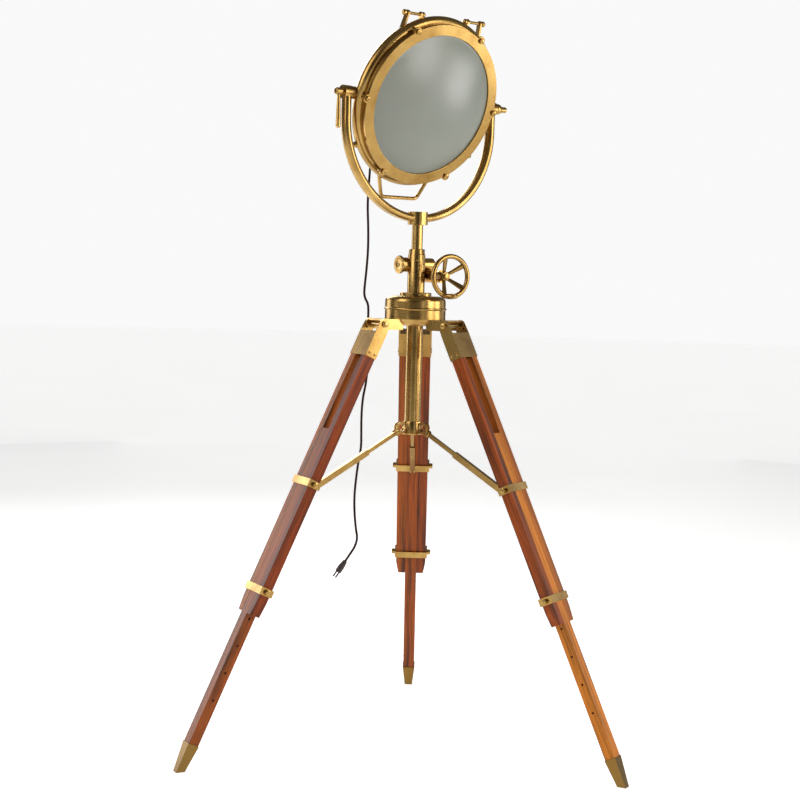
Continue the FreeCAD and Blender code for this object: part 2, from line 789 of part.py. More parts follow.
def leg_pins():
    length = cap_width
    pins = []
    for leg, azimuth in LEGS.items():
        heads = []
        for side in (-1, 1):
            start = spot(side * (length / 2 + S.side_gap), 0, 0)
            heads.append(rod(f"leg_pin_{leg}_head_{side + 1}", S.leg_pin_head_radius, S.leg_pin_head,
                             start, (side, 0, 0)))
        reach = length + 2 * S.side_gap + S.leg_pin_head
        shank = rod(f"leg_pin_{leg}_shank", S.leg_pin_radius, reach, spot(-reach / 2, 0, 0), X_AXIS)
        pin = fuse(f"leg_pin_{leg}", [shank] + heads)
        turned = place(rotation=turn(Z_AXIS, azimuth - 90))
        pin.Placement = turned * place(0, S.pin_radius, S.pin_height)
        pins.append(pin)
    return group("leg_pins", pins)


def base_tube():
    return lathe("base_tube", [
        (S.tube_bore, tube_bottom), (S.tube_radius, tube_bottom),
        (S.tube_radius, hub_joint), (S.tube_bore, hub_joint)])


for leg, azimuth in LEGS.items():
    along = leg_frame(azimuth)
    part(f"{leg}_leg_cap", cap(f"{leg}_leg_cap"), along)
    part(f"{leg}_leg_rails", rails(f"{leg}_leg_rails"), along)
    part(f"{leg}_leg_bands", bands(f"{leg}_leg_bands"), along)
    part(f"{leg}_leg_slider", slider(f"{leg}_leg_slider"), along)
    part(f"{leg}_foot_ferrule", ferrule(f"{leg}_foot_ferrule"), along)
    part(f"{leg}_spreader_arm", arm(f"{leg}_spreader_arm"), arm_frame(azimuth))
    part(f"{leg}_spreader_sleeve", sleeve(f"{leg}_spreader_sleeve"), arm_frame(azimuth))
part("spreader_hub", spreader_hub(), LAMP)
part("arm_pins", arm_pins(), LAMP)
part("hub_skirt", hub_skirt(), LAMP)
part("hub_dome", hub_dome(), LAMP)
part("leg_brackets", leg_brackets(), LAMP)
part("leg_pins", leg_pins(), LAMP)
part("base_tube", base_tube(), LAMP)


# ---------------------------------------------------------------- column

stem_bore = S.stem_radius + S.running_gap
flange_bottom = dome_top + S.side_gap


def turntable():
    """The flange that turns on the dome, its spigot and the ring that keeps it."""
    bore = S.stem_radius + S.side_gap
    ring_height = S.bead_radius
    low = dome_top - S.spigot_length - S.side_gap - ring_height
    edge = S.collar_lip
    flange = lathe("turntable_flange", [
        (bore, low), (S.spigot_radius, low), (S.spigot_radius, flange_bottom),
        (S.flange_radius, flange_bottom), (S.flange_radius, flange_top - edge),
        (S.flange_radius - edge, flange_top, edge), (bore, flange_top)])
    keeper = lathe("turntable_keeper", [
        (S.spigot_radius, low), (S.spigot_radius + S.bead_radius, low),
        (S.spigot_radius + S.bead_radius, low + ring_height), (S.spigot_radius, low + ring_height)])
    return group("turntable", [flange, keeper])


# In the gear frame X runs along the pinion shaft and -Y towards the handwheel.
GEARS = LAMP * place(0, 0, gear_height, turn(Z_AXIS, SIZES["gear_azimuth"]))
pitch_radius = S.gear_module * S.pinion_teeth / 2
addendum = 0.85 * S.gear_module
dedendum = 1.15 * S.gear_module
pinion_tip = pitch_radius + addendum
rack_pitch_y = S.gear_offset - pitch_radius
rack_back_y = rack_pitch_y + addendum - S.rack_thickness
skew_gear_radius = S.worm_barrel_drop / 2 - 2 * S.side_gap
PRESSURE_ANGLE = math.radians(20)
TOOTH_PLAY = 0.12  # what each tooth lacks in width at the pitch line
RACK_ABOVE = 75.0  # rack above and below the pinion when the stem is at rest
RACK_BELOW = 225.0


def along_x(name, radius, start, length, y=0, z=0):
    return rod(name, radius, length, spot(start, y, z), X_AXIS)


def gear_hollows(name):
    """What the pinion, the shafts and the gears need inside the castings."""
    half = S.pinion_width / 2 + S.side_gap
    inner = S.barrel_radius - S.barrel_wall
    worm_inner = S.worm_barrel_radius - S.barrel_wall / 2
    return [
        along_x(name + "_pinion", pinion_tip + S.side_gap, -half, 2 * half, S.gear_offset),
        along_x(name + "_shaft", S.shaft_radius + S.running_gap, -2 * S.barrel_left,
                2 * S.barrel_left + S.barrel_right - S.barrel_wall / 2, S.gear_offset),
        along_x(name + "_barrel", inner, S.column_radius + S.side_gap,
                S.barrel_right - S.barrel_wall - S.column_radius - S.side_gap, S.gear_offset),
        rod(name + "_worm", worm_inner, S.worm_barrel_back + S.worm_barrel_front - 2 * S.barrel_wall,
            spot(S.worm_barrel_side, S.worm_barrel_back - S.barrel_wall, -S.worm_barrel_drop), (0, -1, 0)),
        rod(name + "_wheel_shaft", S.shaft_radius + S.running_gap,
            S.worm_barrel_back + 2 * S.worm_barrel_front,
            spot(S.worm_barrel_side, S.worm_barrel_back - S.barrel_wall / 2, -S.worm_barrel_drop), (0, -1, 0)),
    ]


def column():
    lip = S.column_radius + S.collar_lip
    low = flange_top - gear_height
    top = column_top - gear_height
    body = lathe("column_body", [
        (stem_bore, low), (S.column_radius, low), (S.column_radius, top - S.collar_height),
        (lip, top - S.collar_height), (lip, top - S.collar_lip), (S.column_radius, top), (stem_bore, top)])
    hollows = gear_hollows("column_hollow")[:2]
    return cut_all("column", body, hollows)


def gear_housing():
    """Two barrels cast together, clamped to the side of the column."""
    barrel = along_x("gear_barrel", S.barrel_radius, -S.barrel_left, S.barrel_left + S.barrel_right, S.gear_offset)
    stub = along_x("gear_stub", S.barrel_radius - S.barrel_wall, S.barrel_right, S.barrel_wall, S.gear_offset)
    start = spot(S.worm_barrel_side, S.worm_barrel_back, -S.worm_barrel_drop)
    worm = rod("worm_barrel", S.worm_barrel_radius, S.worm_barrel_back + S.worm_barrel_front, start, (0, -1, 0))
    seat = rod("housing_seat", S.column_radius, 8 * S.barrel_radius, spot(0, 0, -4 * S.barrel_radius))
    return cut_all("gear_housing", fuse("housing_body", [barrel, stub, worm]),
                   [seat] + gear_hollows("housing_hollow"))


def barrel_cap():
    cap_x = -S.barrel_left - S.barrel_cap_thickness
    edge = S.collar_lip
    body = lathe("barrel_cap", [
        (ZERO, cap_x + edge), (S.barrel_wall, cap_x), (S.barrel_cap_radius - edge, cap_x),
        (S.barrel_cap_radius, cap_x + edge, edge), (S.barrel_cap_radius, -S.barrel_left),
        (ZERO, -S.barrel_left)])
    body.Placement = Placement(spot(0, S.gear_offset, 0), turn(Y_AXIS, 90))
    return body


def toothed_disc(radius, teeth, module, width):
    """A spur pinion about X with one tooth pointing along +Y."""
    base = radius * math.cos(PRESSURE_ANGLE)
    tip = radius + float(addendum)
    bottom = radius - float(dedendum)
    half_tooth = math.pi / (2 * teeth) - TOOTH_PLAY / (2 * radius)
    spread = math.tan(PRESSURE_ANGLE) - PRESSURE_ANGLE
    flank = []
    for share in (0.0, 0.5, 1.0):
        at = base + (tip - base) * share
        angle = math.acos(min(1.0, base / at))
        flank.append((at, half_tooth + spread - (math.tan(angle) - angle)))
    flank.insert(0, (bottom, flank[0][1]))
    points = []
    for tooth in range(teeth):
        middle = math.pi / 2 + tooth * 2 * math.pi / teeth
        for at, angle in flank:
            points.append(Vector(0, at * math.sin(middle - angle), -at * math.cos(middle - angle)))
        for at, angle in reversed(flank):
            points.append(Vector(0, at * math.sin(middle + angle), -at * math.cos(middle + angle)))
    face = Part.Face(Part.makePolygon(points + points[:1]))
    face.translate(Vector(-width / 2, 0, 0))
    return face.extrude(Vector(width, 0, 0))


def pinion():
    """The toothed pinion on its shaft, with the skew gear that drives it."""
    teeth = document.addObject("Part::Feature", "pinion_teeth")
    teeth.Shape = toothed_disc(pitch_radius.value, SIZES["pinion_teeth"], SIZES["gear_module"],
                               SIZES["pinion_width"])
    teeth.Placement = place(0, S.gear_offset, 0)
    start = -S.barrel_left + S.side_gap
    length = S.barrel_left + S.barrel_right - S.barrel_wall / 2 - 2 * S.side_gap
    shaft = along_x("pinion_shaft", S.shaft_radius, start, length, S.gear_offset)
    gear = along_x("pinion_skew_gear", skew_gear_radius, S.worm_barrel_side - S.barrel_wall,
                   2 * S.barrel_wall, S.gear_offset)
    return fuse("pinion", [teeth, shaft, gear])


def rack():
    """A toothed strip let into the back of the stem."""
    pitch = math.pi * SIZES["gear_module"]
    tip = float(rack_pitch_y + addendum)
    bottom = float(rack_pitch_y - dedendum)
    slope = math.tan(PRESSURE_ANGLE)
    half = pitch / 4 - TOOTH_PLAY / 2
    tip_half = half - float(addendum) * slope
    bottom_half = half + float(dedendum) * slope
    points = [Vector(0, float(rack_back_y), -RACK_BELOW)]
    for index in range(math.ceil(-RACK_BELOW / pitch) + 1, math.floor(RACK_ABOVE / pitch)):
        middle = index * pitch
        points.append(Vector(0, bottom, middle - bottom_half))
        points.append(Vector(0, tip, middle - tip_half))
        points.append(Vector(0, tip, middle + tip_half))
        points.append(Vector(0, bottom, middle + bottom_half))
    points.insert(1, Vector(0, bottom, -RACK_BELOW))
    points.append(Vector(0, bottom, RACK_ABOVE))
    points.append(Vector(0, float(rack_back_y), RACK_ABOVE))
    face = Part.Face(Part.makePolygon(points + points[:1]))
    face.translate(Vector(-SIZES["rack_width"] / 2, 0, 0))
    strip = document.addObject("Part::Feature", "rack")
    strip.Shape = face.extrude(Vector(SIZES["rack_width"], 0, 0))
    return strip


stem_top = tee_bottom + S.side_gap * 10 - gear_height


def stem():
    bar = rod("stem_bar", S.stem_radius, S.stem_length, spot(0, 0, stem_top - S.stem_length))
    middle = spot(0, rack_back_y + S.stem_radius, (RACK_ABOVE - RACK_BELOW) / 2)
    slot = block("stem_slot", S.rack_width, 2 * S.stem_radius, RACK_ABOVE + RACK_BELOW, middle)
    return cut("stem", bar, slot)


wheel_front = S.worm_barrel_front + S.wheel_hub_length + S.side_gap
rim_y = -S.worm_barrel_front - S.wheel_hub_length / 2 - S.wheel_dish
CRANK_ANGLE = -112.0


def wheel_point(radius, degrees, y):
    angle = math.radians(degrees)
    return spot(float(S.worm_barrel_side) + float(radius) * math.cos(angle), y,
                -float(S.worm_barrel_drop) + float(radius) * math.sin(angle))


def handwheel():
    """A dished wheel with round spokes and the pin of its crank handle."""
    hub_start = -S.worm_barrel_front - S.side_gap
    hub = rod("wheel_hub", S.wheel_hub_radius, S.wheel_hub_length, wheel_point(0, 0, hub_start), (0, -1, 0))
    rim = ring("wheel_rim", S.wheel_radius, S.wheel_rim, wheel_point(0, 0, rim_y), Y_AXIS)
    spokes = []
    for index in range(SIZES["spoke_count"]):
        degrees = 180 - index * 360 / SIZES["spoke_count"]
        start = wheel_point(S.wheel_hub_radius / 2, degrees, hub_start - S.wheel_hub_length / 2)
        finish = wheel_point(S.wheel_radius, degrees, rim_y)
        way = finish - start
        item = rod(f"wheel_spoke_{index}", S.spoke_radius, as_size(way.Length), start, tuple(way))
        spokes.append(item)
    pin = rod("crank_pin", S.crank_radius / 2, S.crank_length - S.crank_radius,
              wheel_point(S.wheel_radius, CRANK_ANGLE, rim_y), (0, -1, 0))
    bore = rod("wheel_bore", S.shaft_radius, 4 * S.wheel_hub_length,
               wheel_point(0, 0, hub_start + S.wheel_hub_length), (0, -1, 0))
    return cut("handwheel", fuse("wheel_body", [hub, rim, pin] + spokes), bore)


def wheel_shaft():
    """The handwheel's shaft, its skew gear and its end nut."""
    back = S.worm_barrel_back - S.barrel_wall / 2 - S.side_gap
    length = back + wheel_front
    shaft = rod("wheel_shaft_bar", S.shaft_radius, length, wheel_point(0, 0, back), (0, -1, 0))
    nut = rod("wheel_nut", S.shaft_radius * 1.5, S.shaft_radius, wheel_point(0, 0, -wheel_front), (0, -1, 0))
    gear = rod("wheel_skew_gear", skew_gear_radius, 2 * S.barrel_wall,
               wheel_point(0, 0, S.gear_offset + S.barrel_wall), (0, -1, 0))
    return fuse("wheel_shaft", [shaft, nut, gear])


def crank_handle():
    start = S.wheel_rim + S.side_gap
    bore = S.crank_radius / 2 + S.running_gap
    depth = S.crank_length - S.crank_radius + S.side_gap
    body = lathe("crank_handle", [
        (bore, start), (S.crank_radius, start), (S.crank_radius, S.crank_length),
        (ZERO, S.crank_length + S.crank_radius, S.crank_radius), (ZERO, depth), (bore, depth)])
    body.Placement = Placement(wheel_point(S.wheel_radius, CRANK_ANGLE, rim_y), turn(X_AXIS, 90))
    return body


part("turntable", turntable(), LAMP)
part("column", column(), GEARS)
part("gear_housing", gear_housing(), GEARS)
part("barrel_cap", barrel_cap(), GEARS)
part("pinion", pinion(), GEARS)
part("rack", rack(), GEARS)
part("stem", stem(), GEARS)
part("handwheel", handwheel(), GEARS)
part("wheel_shaft", wheel_shaft(), GEARS)
part("crank_handle", crank_handle(), GEARS)


# ---------------------------------------------------------------- yoke

YOKE_ON_LAMP = place(0, 0, pivot_height, turn(Z_AXIS, SIZES["head_turn"]))
YOKE = LAMP * YOKE_ON_LAMP
yoke_inner = yoke_half_width - S.yoke_bar_depth / 2


def yoke_bar(name):
    """The U of the yoke, swept along two straights and a half circle."""
    body = document.addObject("PartDesign::Body", name)
    path = sketch_on(body, name + "_path", "XZ_Plane")
    half = yoke_half_width
    drop = -S.yoke_drop
    outline(path, [(half, ZERO), (half, drop), (ZERO, drop - half, -half), (-half, drop, -half), (-half, ZERO)],
            closed=False)
    profile = sketch_on(body, name + "_section", "XY_Plane")
    bend = S.yoke_bar_depth / 2
    side = S.yoke_bar_width / 2 - bend
    outline(profile, [
        (half + bend, side), (half, side + bend, bend), (half - bend, side, bend), (half - bend, -side),
        (half, -side - bend, bend), (half + bend, -side, bend)])
    pipe = body.newObject("PartDesign::AdditivePipe", name + "_sweep")
    pipe.Profile = profile
    pipe.Spine = path
    return body


def yoke():
    seats = []
    for side in (-1, 1):
        start = side * (yoke_half_width - S.yoke_bar_depth)
        seats.append(rod(f"yoke_seat_{side + 1}", S.boss_radius, 2 * S.yoke_bar_depth, spot(start, 0, 0),
                         (side, 0, 0)))
    return cut_all("yoke", yoke_bar("yoke_bar"), seats)


def yoke_bosses():
    rings = []
    for side in (-1, 1):
        boss = lathe(f"yoke_boss_{side + 1}", [
            (S.trunnion_radius + S.running_gap, yoke_inner), (S.boss_radius, yoke_inner),
            (S.boss_radius, boss_outer), (S.trunnion_radius + S.running_gap, boss_outer)])
        boss.Placement = place(rotation=turn(Y_AXIS, 90 * side))
        rings.append(boss)
    return group("yoke_bosses", rings)


def tee_collar():
    body = rod("tee_body", S.tee_radius, S.tee_height, spot(0, 0, tee_bottom))
    socket = rod("tee_socket", S.stem_radius, stem_top + gear_height - tee_bottom, spot(0, 0, tee_bottom))
    slot = yoke_bar("tee_slot")
    slot.Placement = YOKE_ON_LAMP
    return cut_all("tee_collar", body, [socket, slot])


end_pin = S.trunnion_radius / 2


def tilt_lever():
    """A clamp lever that hangs from the left pivot."""
    start = boss_outer + S.side_gap
    hub = lathe("lever_hub", [
        (end_pin + S.running_gap, start), (S.lever_hub_radius, start),
        (S.lever_hub_radius, start + S.lever_hub_length - S.lever_top_radius),
        (S.lever_hub_radius - S.lever_top_radius, start + S.lever_hub_length, S.lever_top_radius),
        (ZERO, start + S.lever_hub_length), (ZERO, start + S.lever_hub_length - S.lever_top_radius),
        (end_pin + S.running_gap, start + S.lever_hub_length - S.lever_top_radius)])
    hub.Placement = place(rotation=turn(Y_AXIS, -90))
    middle = -start - S.lever_hub_length / 2
    neck = S.lever_hub_radius * 0.6
    grip = cone("lever_grip", S.lever_top_radius, S.lever_end_radius, S.lever_length - neck,
                spot(middle, 0, -neck), (0, 0, -1))
    tip = ball("lever_tip", S.lever_end_radius, spot(middle, 0, -S.lever_length))
    return fuse("tilt_lever", [hub, grip, tip])


def pivot_knob():
    start = boss_outer + S.side_gap
    foot = S.knob_ball_radius * 0.7
    waist = start + S.knob_ball_radius * 1.5
    end = waist + S.knob_stub_length
    edge = S.collar_lip
    knob = lathe("pivot_knob", [
        (end_pin + S.running_gap, start), (foot, start), (S.knob_stub_radius, waist, S.knob_ball_radius),
        (S.knob_stub_radius, end - edge), (S.knob_stub_radius - edge, end, edge), (ZERO, end),
        (ZERO, start + S.lever_hub_length - S.lever_top_radius),
        (end_pin + S.running_gap, start + S.lever_hub_length - S.lever_top_radius)])
    knob.Placement = place(rotation=turn(Y_AXIS, 90))
    return knob


part("yoke", yoke(), YOKE)
part("yoke_bosses", yoke_bosses(), YOKE)
part("tilt_lever", tilt_lever(), YOKE)
part("pivot_knob", pivot_knob(), YOKE)
part("tee_collar", tee_collar(), LAMP)


# ---------------------------------------------------------------- lamp head

# In the lens frame Z runs forward along the lens axis, X along the pivots, Y up.
TILTED = place(rotation=turn(X_AXIS, SIZES["head_tilt"]))
LENS_ON_YOKE = TILTED * place(rotation=turn(X_AXIS, 90))
LENS = YOKE * LENS_ON_YOKE
glass_back = S.glass_front - S.glass_thickness
ring_front = S.glass_front - S.gasket_thickness
bezel_front = S.glass_front + S.bezel_thickness
roll_middle = S.ring_back - S.flange_roll
roll_back = S.ring_back - 2 * S.flange_roll
rear_floor = S.shell_wall - S.dome_depth
rear_face = -S.dome_depth - S.rear_boss_depth
screw_radius = S.clamp_boss_radius / 2


def shell_outside():
    """The outside of the shell, from its front edge back to the lens axis."""
    boss = S.rear_boss_radius
    return [(ring_radius, ring_front), (ring_radius, S.ring_back),
            (ring_radius + S.flange_roll, roll_middle, -S.flange_roll),
            (ring_radius, roll_back, -S.flange_roll), (boss, -S.dome_depth, -S.dome_curve),
            (boss - S.rear_boss_depth / 2, rear_face), (ZERO, rear_face)]


def clamp_spots(z):
    """The places of the bezel's clamp screws, evenly round the lens."""
    for index in range(SIZES["clamp_count"]):
        angle = 2 * math.pi * index / SIZES["clamp_count"]
        radius = float(clamp_circle)
        yield index, spot(radius * math.cos(angle), radius * math.sin(angle), z)


def lamp_shell():
    """The spun body: front ring, rolled flange, dome and rear boss."""
    inner = ring_radius - S.shell_wall
    seat = S.glass_radius + S.side_gap
    ledge = bezel_bore - S.shell_wall
    roll = S.flange_roll - S.shell_wall
    body = lathe("shell_body", shell_outside() + [
        (ZERO, rear_floor), (S.rear_boss_radius - S.shell_wall, rear_floor),
        (inner, roll_back, S.dome_curve - S.shell_wall), (ring_radius, roll_back + S.shell_wall),
        (ring_radius + roll, roll_middle, roll), (ring_radius, S.ring_back - S.shell_wall, roll),
        (inner, S.ring_back), (inner, glass_back - 2 * S.shell_wall),
        (ledge, glass_back - S.shell_wall), (ledge, glass_back), (seat, glass_back), (seat, ring_front)])
    back = roll_middle
    bosses = [rod(f"clamp_boss_{index}", S.clamp_boss_radius, ring_front - back, at)
              for index, at in clamp_spots(back)]
    holes = [rod(f"clamp_bore_{index}", screw_radius, ring_front - S.clamp_boss_back, at)
             for index, at in clamp_spots(S.clamp_boss_back)]
    bore = lathe("shell_inside", [
        (ZERO, rear_floor), (S.rear_boss_radius - S.shell_wall, rear_floor),
        (inner, roll_back, S.dome_curve - S.shell_wall), (inner, glass_back - 2 * S.shell_wall),
        (ZERO, glass_back - 2 * S.shell_wall)])
    return cut_all("lamp_shell", fuse("shell_with_bosses", [body] + bosses), holes + [bore])


def bezel():
    edge = S.collar_lip / 2
    plate_ring = lathe("bezel_ring", [
        (bezel_bore, S.glass_front), (bezel_radius, S.glass_front), (bezel_radius, bezel_front - edge),
        (bezel_radius - edge, bezel_front, edge), (bezel_bore + edge, bezel_front),
        (bezel_bore, bezel_front - edge, edge)])
    ears = [rod(f"bezel_ear_{index}", S.clamp_ear_radius, S.bezel_thickness, at)
            for index, at in clamp_spots(S.glass_front)]
    holes = [rod(f"bezel_hole_{index}", screw_radius, S.bezel_thickness, at)
             for index, at in clamp_spots(S.glass_front)]
    return cut_all("bezel", fuse("bezel_body", [plate_ring] + ears), holes)


def bezel_screws():
    screws = []
    for index, at in clamp_spots(bezel_front):
        head = rod(f"screw_head_{index}", S.screw_head_radius, S.screw_head, at)
        shank = rod(f"screw_shank_{index}", screw_radius, bezel_front - S.clamp_boss_back,
                    at - spot(0, 0, bezel_front - S.clamp_boss_back))
        screws.append(fuse(f"screw_{index}", [head, shank]))
    return group("bezel_screws", screws)


def gasket():
    inner = S.glass_radius + S.side_gap
    outer = clamp_circle - screw_radius - S.side_gap
    return lathe("gasket", [(inner, ring_front), (outer, ring_front), (outer, S.glass_front),
                            (inner, S.glass_front)])


def lens():
    """The domed glass, a shallow part of a ball."""
    foot = bezel_bore - S.side_gap
    curve = (foot * foot + S.glass_bulge * S.glass_bulge) / (2 * S.glass_bulge)
    crown = S.glass_front + S.glass_bulge
    return lathe("lens", [
        (ZERO, crown), (foot, S.glass_front, -curve), (S.glass_radius, S.glass_front),
        (S.glass_radius, glass_back), (foot, glass_back), (ZERO, crown - S.glass_thickness, curve)])


def reflector():
    rim = bezel_bore - S.shell_wall - S.reflector_gap
    wall = S.reflector_wall
    deep = rear_floor + S.holder_length / 2
    front = roll_middle
    curve = S.dome_curve - S.shell_wall - 2 * S.reflector_gap
    return lathe("reflector", [
        (rim + wall, front), (S.holder_radius + wall, deep - wall, -curve - wall),
        (S.holder_radius, deep - wall), (S.holder_radius, deep), (rim, front, curve)])


def lampholder():
    top = rear_floor + S.holder_length
    edge = S.collar_lip
    return lathe("lampholder", [
        (ZERO, rear_floor), (S.holder_radius, rear_floor), (S.holder_radius, top - edge),
        (S.holder_radius - edge, top), (ZERO, top)])


def bulb():
    foot = rear_floor + S.holder_length
    middle = foot + S.bulb_length - S.bulb_radius
    neck_top = middle - root(S.bulb_radius * S.bulb_radius - S.bulb_neck_radius * S.bulb_neck_radius)
    return lathe("bulb", [
        (ZERO, foot), (S.bulb_neck_radius, foot), (S.bulb_neck_radius, neck_top),
        (S.bulb_radius, middle, S.bulb_radius), (ZERO, middle + S.bulb_radius, S.bulb_radius)])


def cord_gland():
    shoulder = rear_face - S.gland_radius / 2
    tip = rear_face - S.gland_length
    return lathe("cord_gland", [
        (ZERO, tip), (S.gland_tip_radius, tip), (S.gland_radius, shoulder), (S.gland_radius, rear_face),
        (ZERO, rear_face)])


def trunnions():
    """The head's two pivots: a collar on the shell, a journal and an end pin."""
    pivots = []
    for side in (-1, 1):
        word = f"trunnion_{side + 1}"
        collar_end = yoke_inner - S.side_gap
        start = ring_radius - S.flange_roll
        tip = boss_outer + S.lever_hub_length - 2 * S.lever_top_radius
        body = lathe(word + "_turned", [
            (ZERO, start), (S.trunnion_collar, start), (S.trunnion_collar, collar_end),
            (S.trunnion_radius, collar_end), (S.trunnion_radius, boss_outer), (end_pin, boss_outer),
            (end_pin, tip), (ZERO, tip)])
        body.Placement = place(rotation=turn(Y_AXIS, 90 * side))
        seat = lathe(word + "_seat", [(ZERO, ring_front)] + shell_outside())
        seat.Placement = place(rotation=turn(X_AXIS, 90))
        pivots.append(cut(word, body, seat))
    return group("trunnions", pivots)


def strap(name, start, finish):
    """A flat strap from the shell to a rod, with a round top."""
    way = finish - start
    lean = turn(Z_AXIS, math.degrees(math.atan2(-way.x, way.y)))
    at = Placement(start, lean)
    flat = block(name + "_flat", S.strap_thickness, as_size(way.Length), S.strap_width,
                 Vector(0, way.Length / 2, 0))
    flat.Placement = at * flat.Placement
    top = rod(name + "_top", S.strap_width / 2, S.strap_thickness,
              spot(-S.strap_thickness / 2, way.Length, 0), X_AXIS)
    top.Placement = at * top.Placement
    return [flat, top]


def handle_brackets():
    """Two grab rods on leaning straps at the top, two short ones low on the sides."""
    pieces = []
    for side in (-1, 1):
        word = f"grab_{side + 1}"
        plane = S.strap_plane
        items = strap(word + "_outer", spot(side * (S.rod_outer + S.strap_thickness), rod_height * 0.72, plane),
                      spot(side * (S.rod_outer - S.strap_thickness / 2), rod_height, plane))
        items += strap(word + "_inner", spot(side * (S.rod_inner - 3 * S.strap_thickness), rod_height * 0.86, plane),
                       spot(side * S.rod_inner, rod_height, plane))
        length = S.rod_outer - S.rod_inner + 2 * S.rod_head_radius
        start = spot(side * (S.rod_inner - S.rod_head_radius), rod_height, plane)
        items.append(rod(word + "_rod", S.rod_radius, length, start, (side, 0, 0)))
        items.append(ball(word + "_head_0", S.rod_head_radius, start))
        items.append(ball(word + "_head_1", S.rod_head_radius, start + spot(side * length, 0, 0)))
        seat = lathe(word + "_seat", [(ZERO, ring_front)] + shell_outside())
        pieces.append(cut(word, fuse(word + "_body", items), seat))
        angle = S.side_lug_angle.value if side < 0 else 180 - S.side_lug_angle.value
        radians = math.radians(angle)
        out = spot(math.cos(radians), math.sin(radians), 0)
        word = f"side_lug_{side + 1}"
        foot = out * (float(ring_radius) - SIZES["strap_width"] / 2) + spot(0, 0, plane)
        top = out * float(side_lug_radius) + spot(0, 0, plane)
        items = strap(word, foot, top)
        half = S.strap_width
        items.append(rod(word + "_rod", S.rod_radius, 2 * half, top - spot(half, 0, 0), X_AXIS))
        items.append(ball(word + "_head_0", S.rod_head_radius * 0.7, top - spot(half, 0, 0)))
        items.append(ball(word + "_head_1", S.rod_head_radius * 0.7, top + spot(half, 0, 0)))
        seat = lathe(word + "_seat", [(ZERO, ring_front)] + shell_outside())
        pieces.append(cut(word, fuse(word + "_body", items), seat))
    return group("handle_brackets", pieces)


# ---------------------------------------------------------------- tubes

def tube(name, points, radius, bend=None):
    """A round bar along straight runs joined by tangent arcs."""
    edges = []
    radii = []
    last = points[0]
    for before, corner, after in zip(points, points[1:], points[2:]):
        way_in = (corner - before).normalize()
        way_out = (after - corner).normalize()
        half_turn = way_in.getAngle(way_out) / 2
        shorter = min(corner.distanceToPoint(before), corner.distanceToPoint(after))
        curve = bend or 0.45 * shorter / math.tan(half_turn)
        reach = curve * math.tan(half_turn)
        inward = (way_out - way_in).normalize()
        middle = corner + inward * (curve / math.cos(half_turn) - curve)
        start = corner - way_in * reach
        finish = corner + way_out * reach
        edges.append(Part.LineSegment(last, start).toShape())
        edges.append(Part.Arc(start, middle, finish).toShape())
        radii.append(curve)
        last = finish
    edges.append(Part.LineSegment(last, points[-1]).toShape())
    path = Part.Wire(edges)
    section = Part.Wire(Part.makeCircle(radius, points[0], points[1] - points[0]))
    solid = path.makePipeShell([section], True, False)
    area = math.pi * radius * radius
    print(f"{name}: length {path.Length:.1f}, smallest bend {min(radii):.1f}, "
          f"volume over section times length {solid.Volume / area / path.Length:.4f}")
    item = document.addObject("Part::Feature", name)
    item.Shape = solid
    return item


def bail_handle():
    """A bent bar under the head, let into the rolled flange at both ends."""
    bar = tube("bail_bar", [
        spot(-S.bail_end_x, -S.bail_end_y, S.bail_plane), spot(-S.bail_half_length, -bail_drop, S.bail_plane),
        spot(S.bail_half_length, -bail_drop, S.bail_plane), spot(S.bail_end_x, -S.bail_end_y, S.bail_plane)],
        SIZES["bail_radius"], SIZES["bail_bend"])
    seat = lathe("bail_seat", [(ZERO, ring_front)] + shell_outside())
    return cut("bail_handle", bar, seat)


part("lamp_shell", lamp_shell(), LENS)
part("bezel", bezel(), LENS)
part("bezel_screws", bezel_screws(), LENS)
part("gasket", gasket(), LENS)
part("lens", lens(), LENS)
part("reflector", reflector(), LENS)
part("lampholder", lampholder(), LENS)
part("bulb", bulb(), LENS)
part("cord_gland", cord_gland(), LENS)
part("trunnions", trunnions(), YOKE * TILTED)
part("handle_brackets", handle_brackets(), LENS)
part("bail_handle", bail_handle(), LENS)


# ---------------------------------------------------------------- cord

# The cord hangs free from the gland. Its route is chosen by hand, in four
# stretches that meet face to face: at the tilting head, at the rising stem, at
# the turning column, and its free end.
CORD = {
    "cord_at_head": [
        (-83.6, -51.9, 1648.1), (-106.4, -25.0, 1661.2), (-127.0, -3.0, 1648.0), (-131.5, 3.0, 1611.0),
        (-129.5, 2.0, 1570.0), (-128.85, 2.3, 1545.0)],
    "cord_at_stem": [
        (-128.85, 2.3, 1545.0), (-128.2, 2.6, 1520.0), (-126.6, 2.2, 1462.0), (-129.6, 2.4, 1405.0),
        (-131.8, 2.2, 1350.0), (-128.4, 2.6, 1295.0), (-127.8, 2.4, 1267.5)],
    "cord_at_column": [
        (-127.8, 2.4, 1267.5), (-127.2, 2.2, 1240.0), (-129.8, 2.5, 1190.0), (-133.2, 2.2, 1150.0),
        (-135.0, 2.3, 1124.0), (-131.0, 2.6, 1110.0), (-124.5, 2.4, 1100.0), (-122.4, 2.2, 1082.0),
        (-123.4, 2.4, 1050.0), (-121.2, 2.2, 1000.0), (-120.8, 2.5, 945.0), (-122.1, 2.4, 921.0)],
    "cord_hanging": [
        (-122.1, 2.4, 921.0), (-123.4, 2.3, 897.0), (-131.0, 2.2, 860.0), (-133.9, 2.4, 815.0),
        (-133.0, 2.2, 765.0), (-132.2, 2.4, 728.0), (-139.0, 2.2, 688.0), (-143.8, 2.4, 645.0),
        (-147.0, 2.2, 600.0), (-145.4, 2.4, 556.0), (-141.0, 2.2, 516.0), (-136.0, 2.3, 492.0),
        (-141.5, 2.4, 470.0), (-153.5, 2.2, 450.0), (-166.4, 2.3, 430.0)],
}


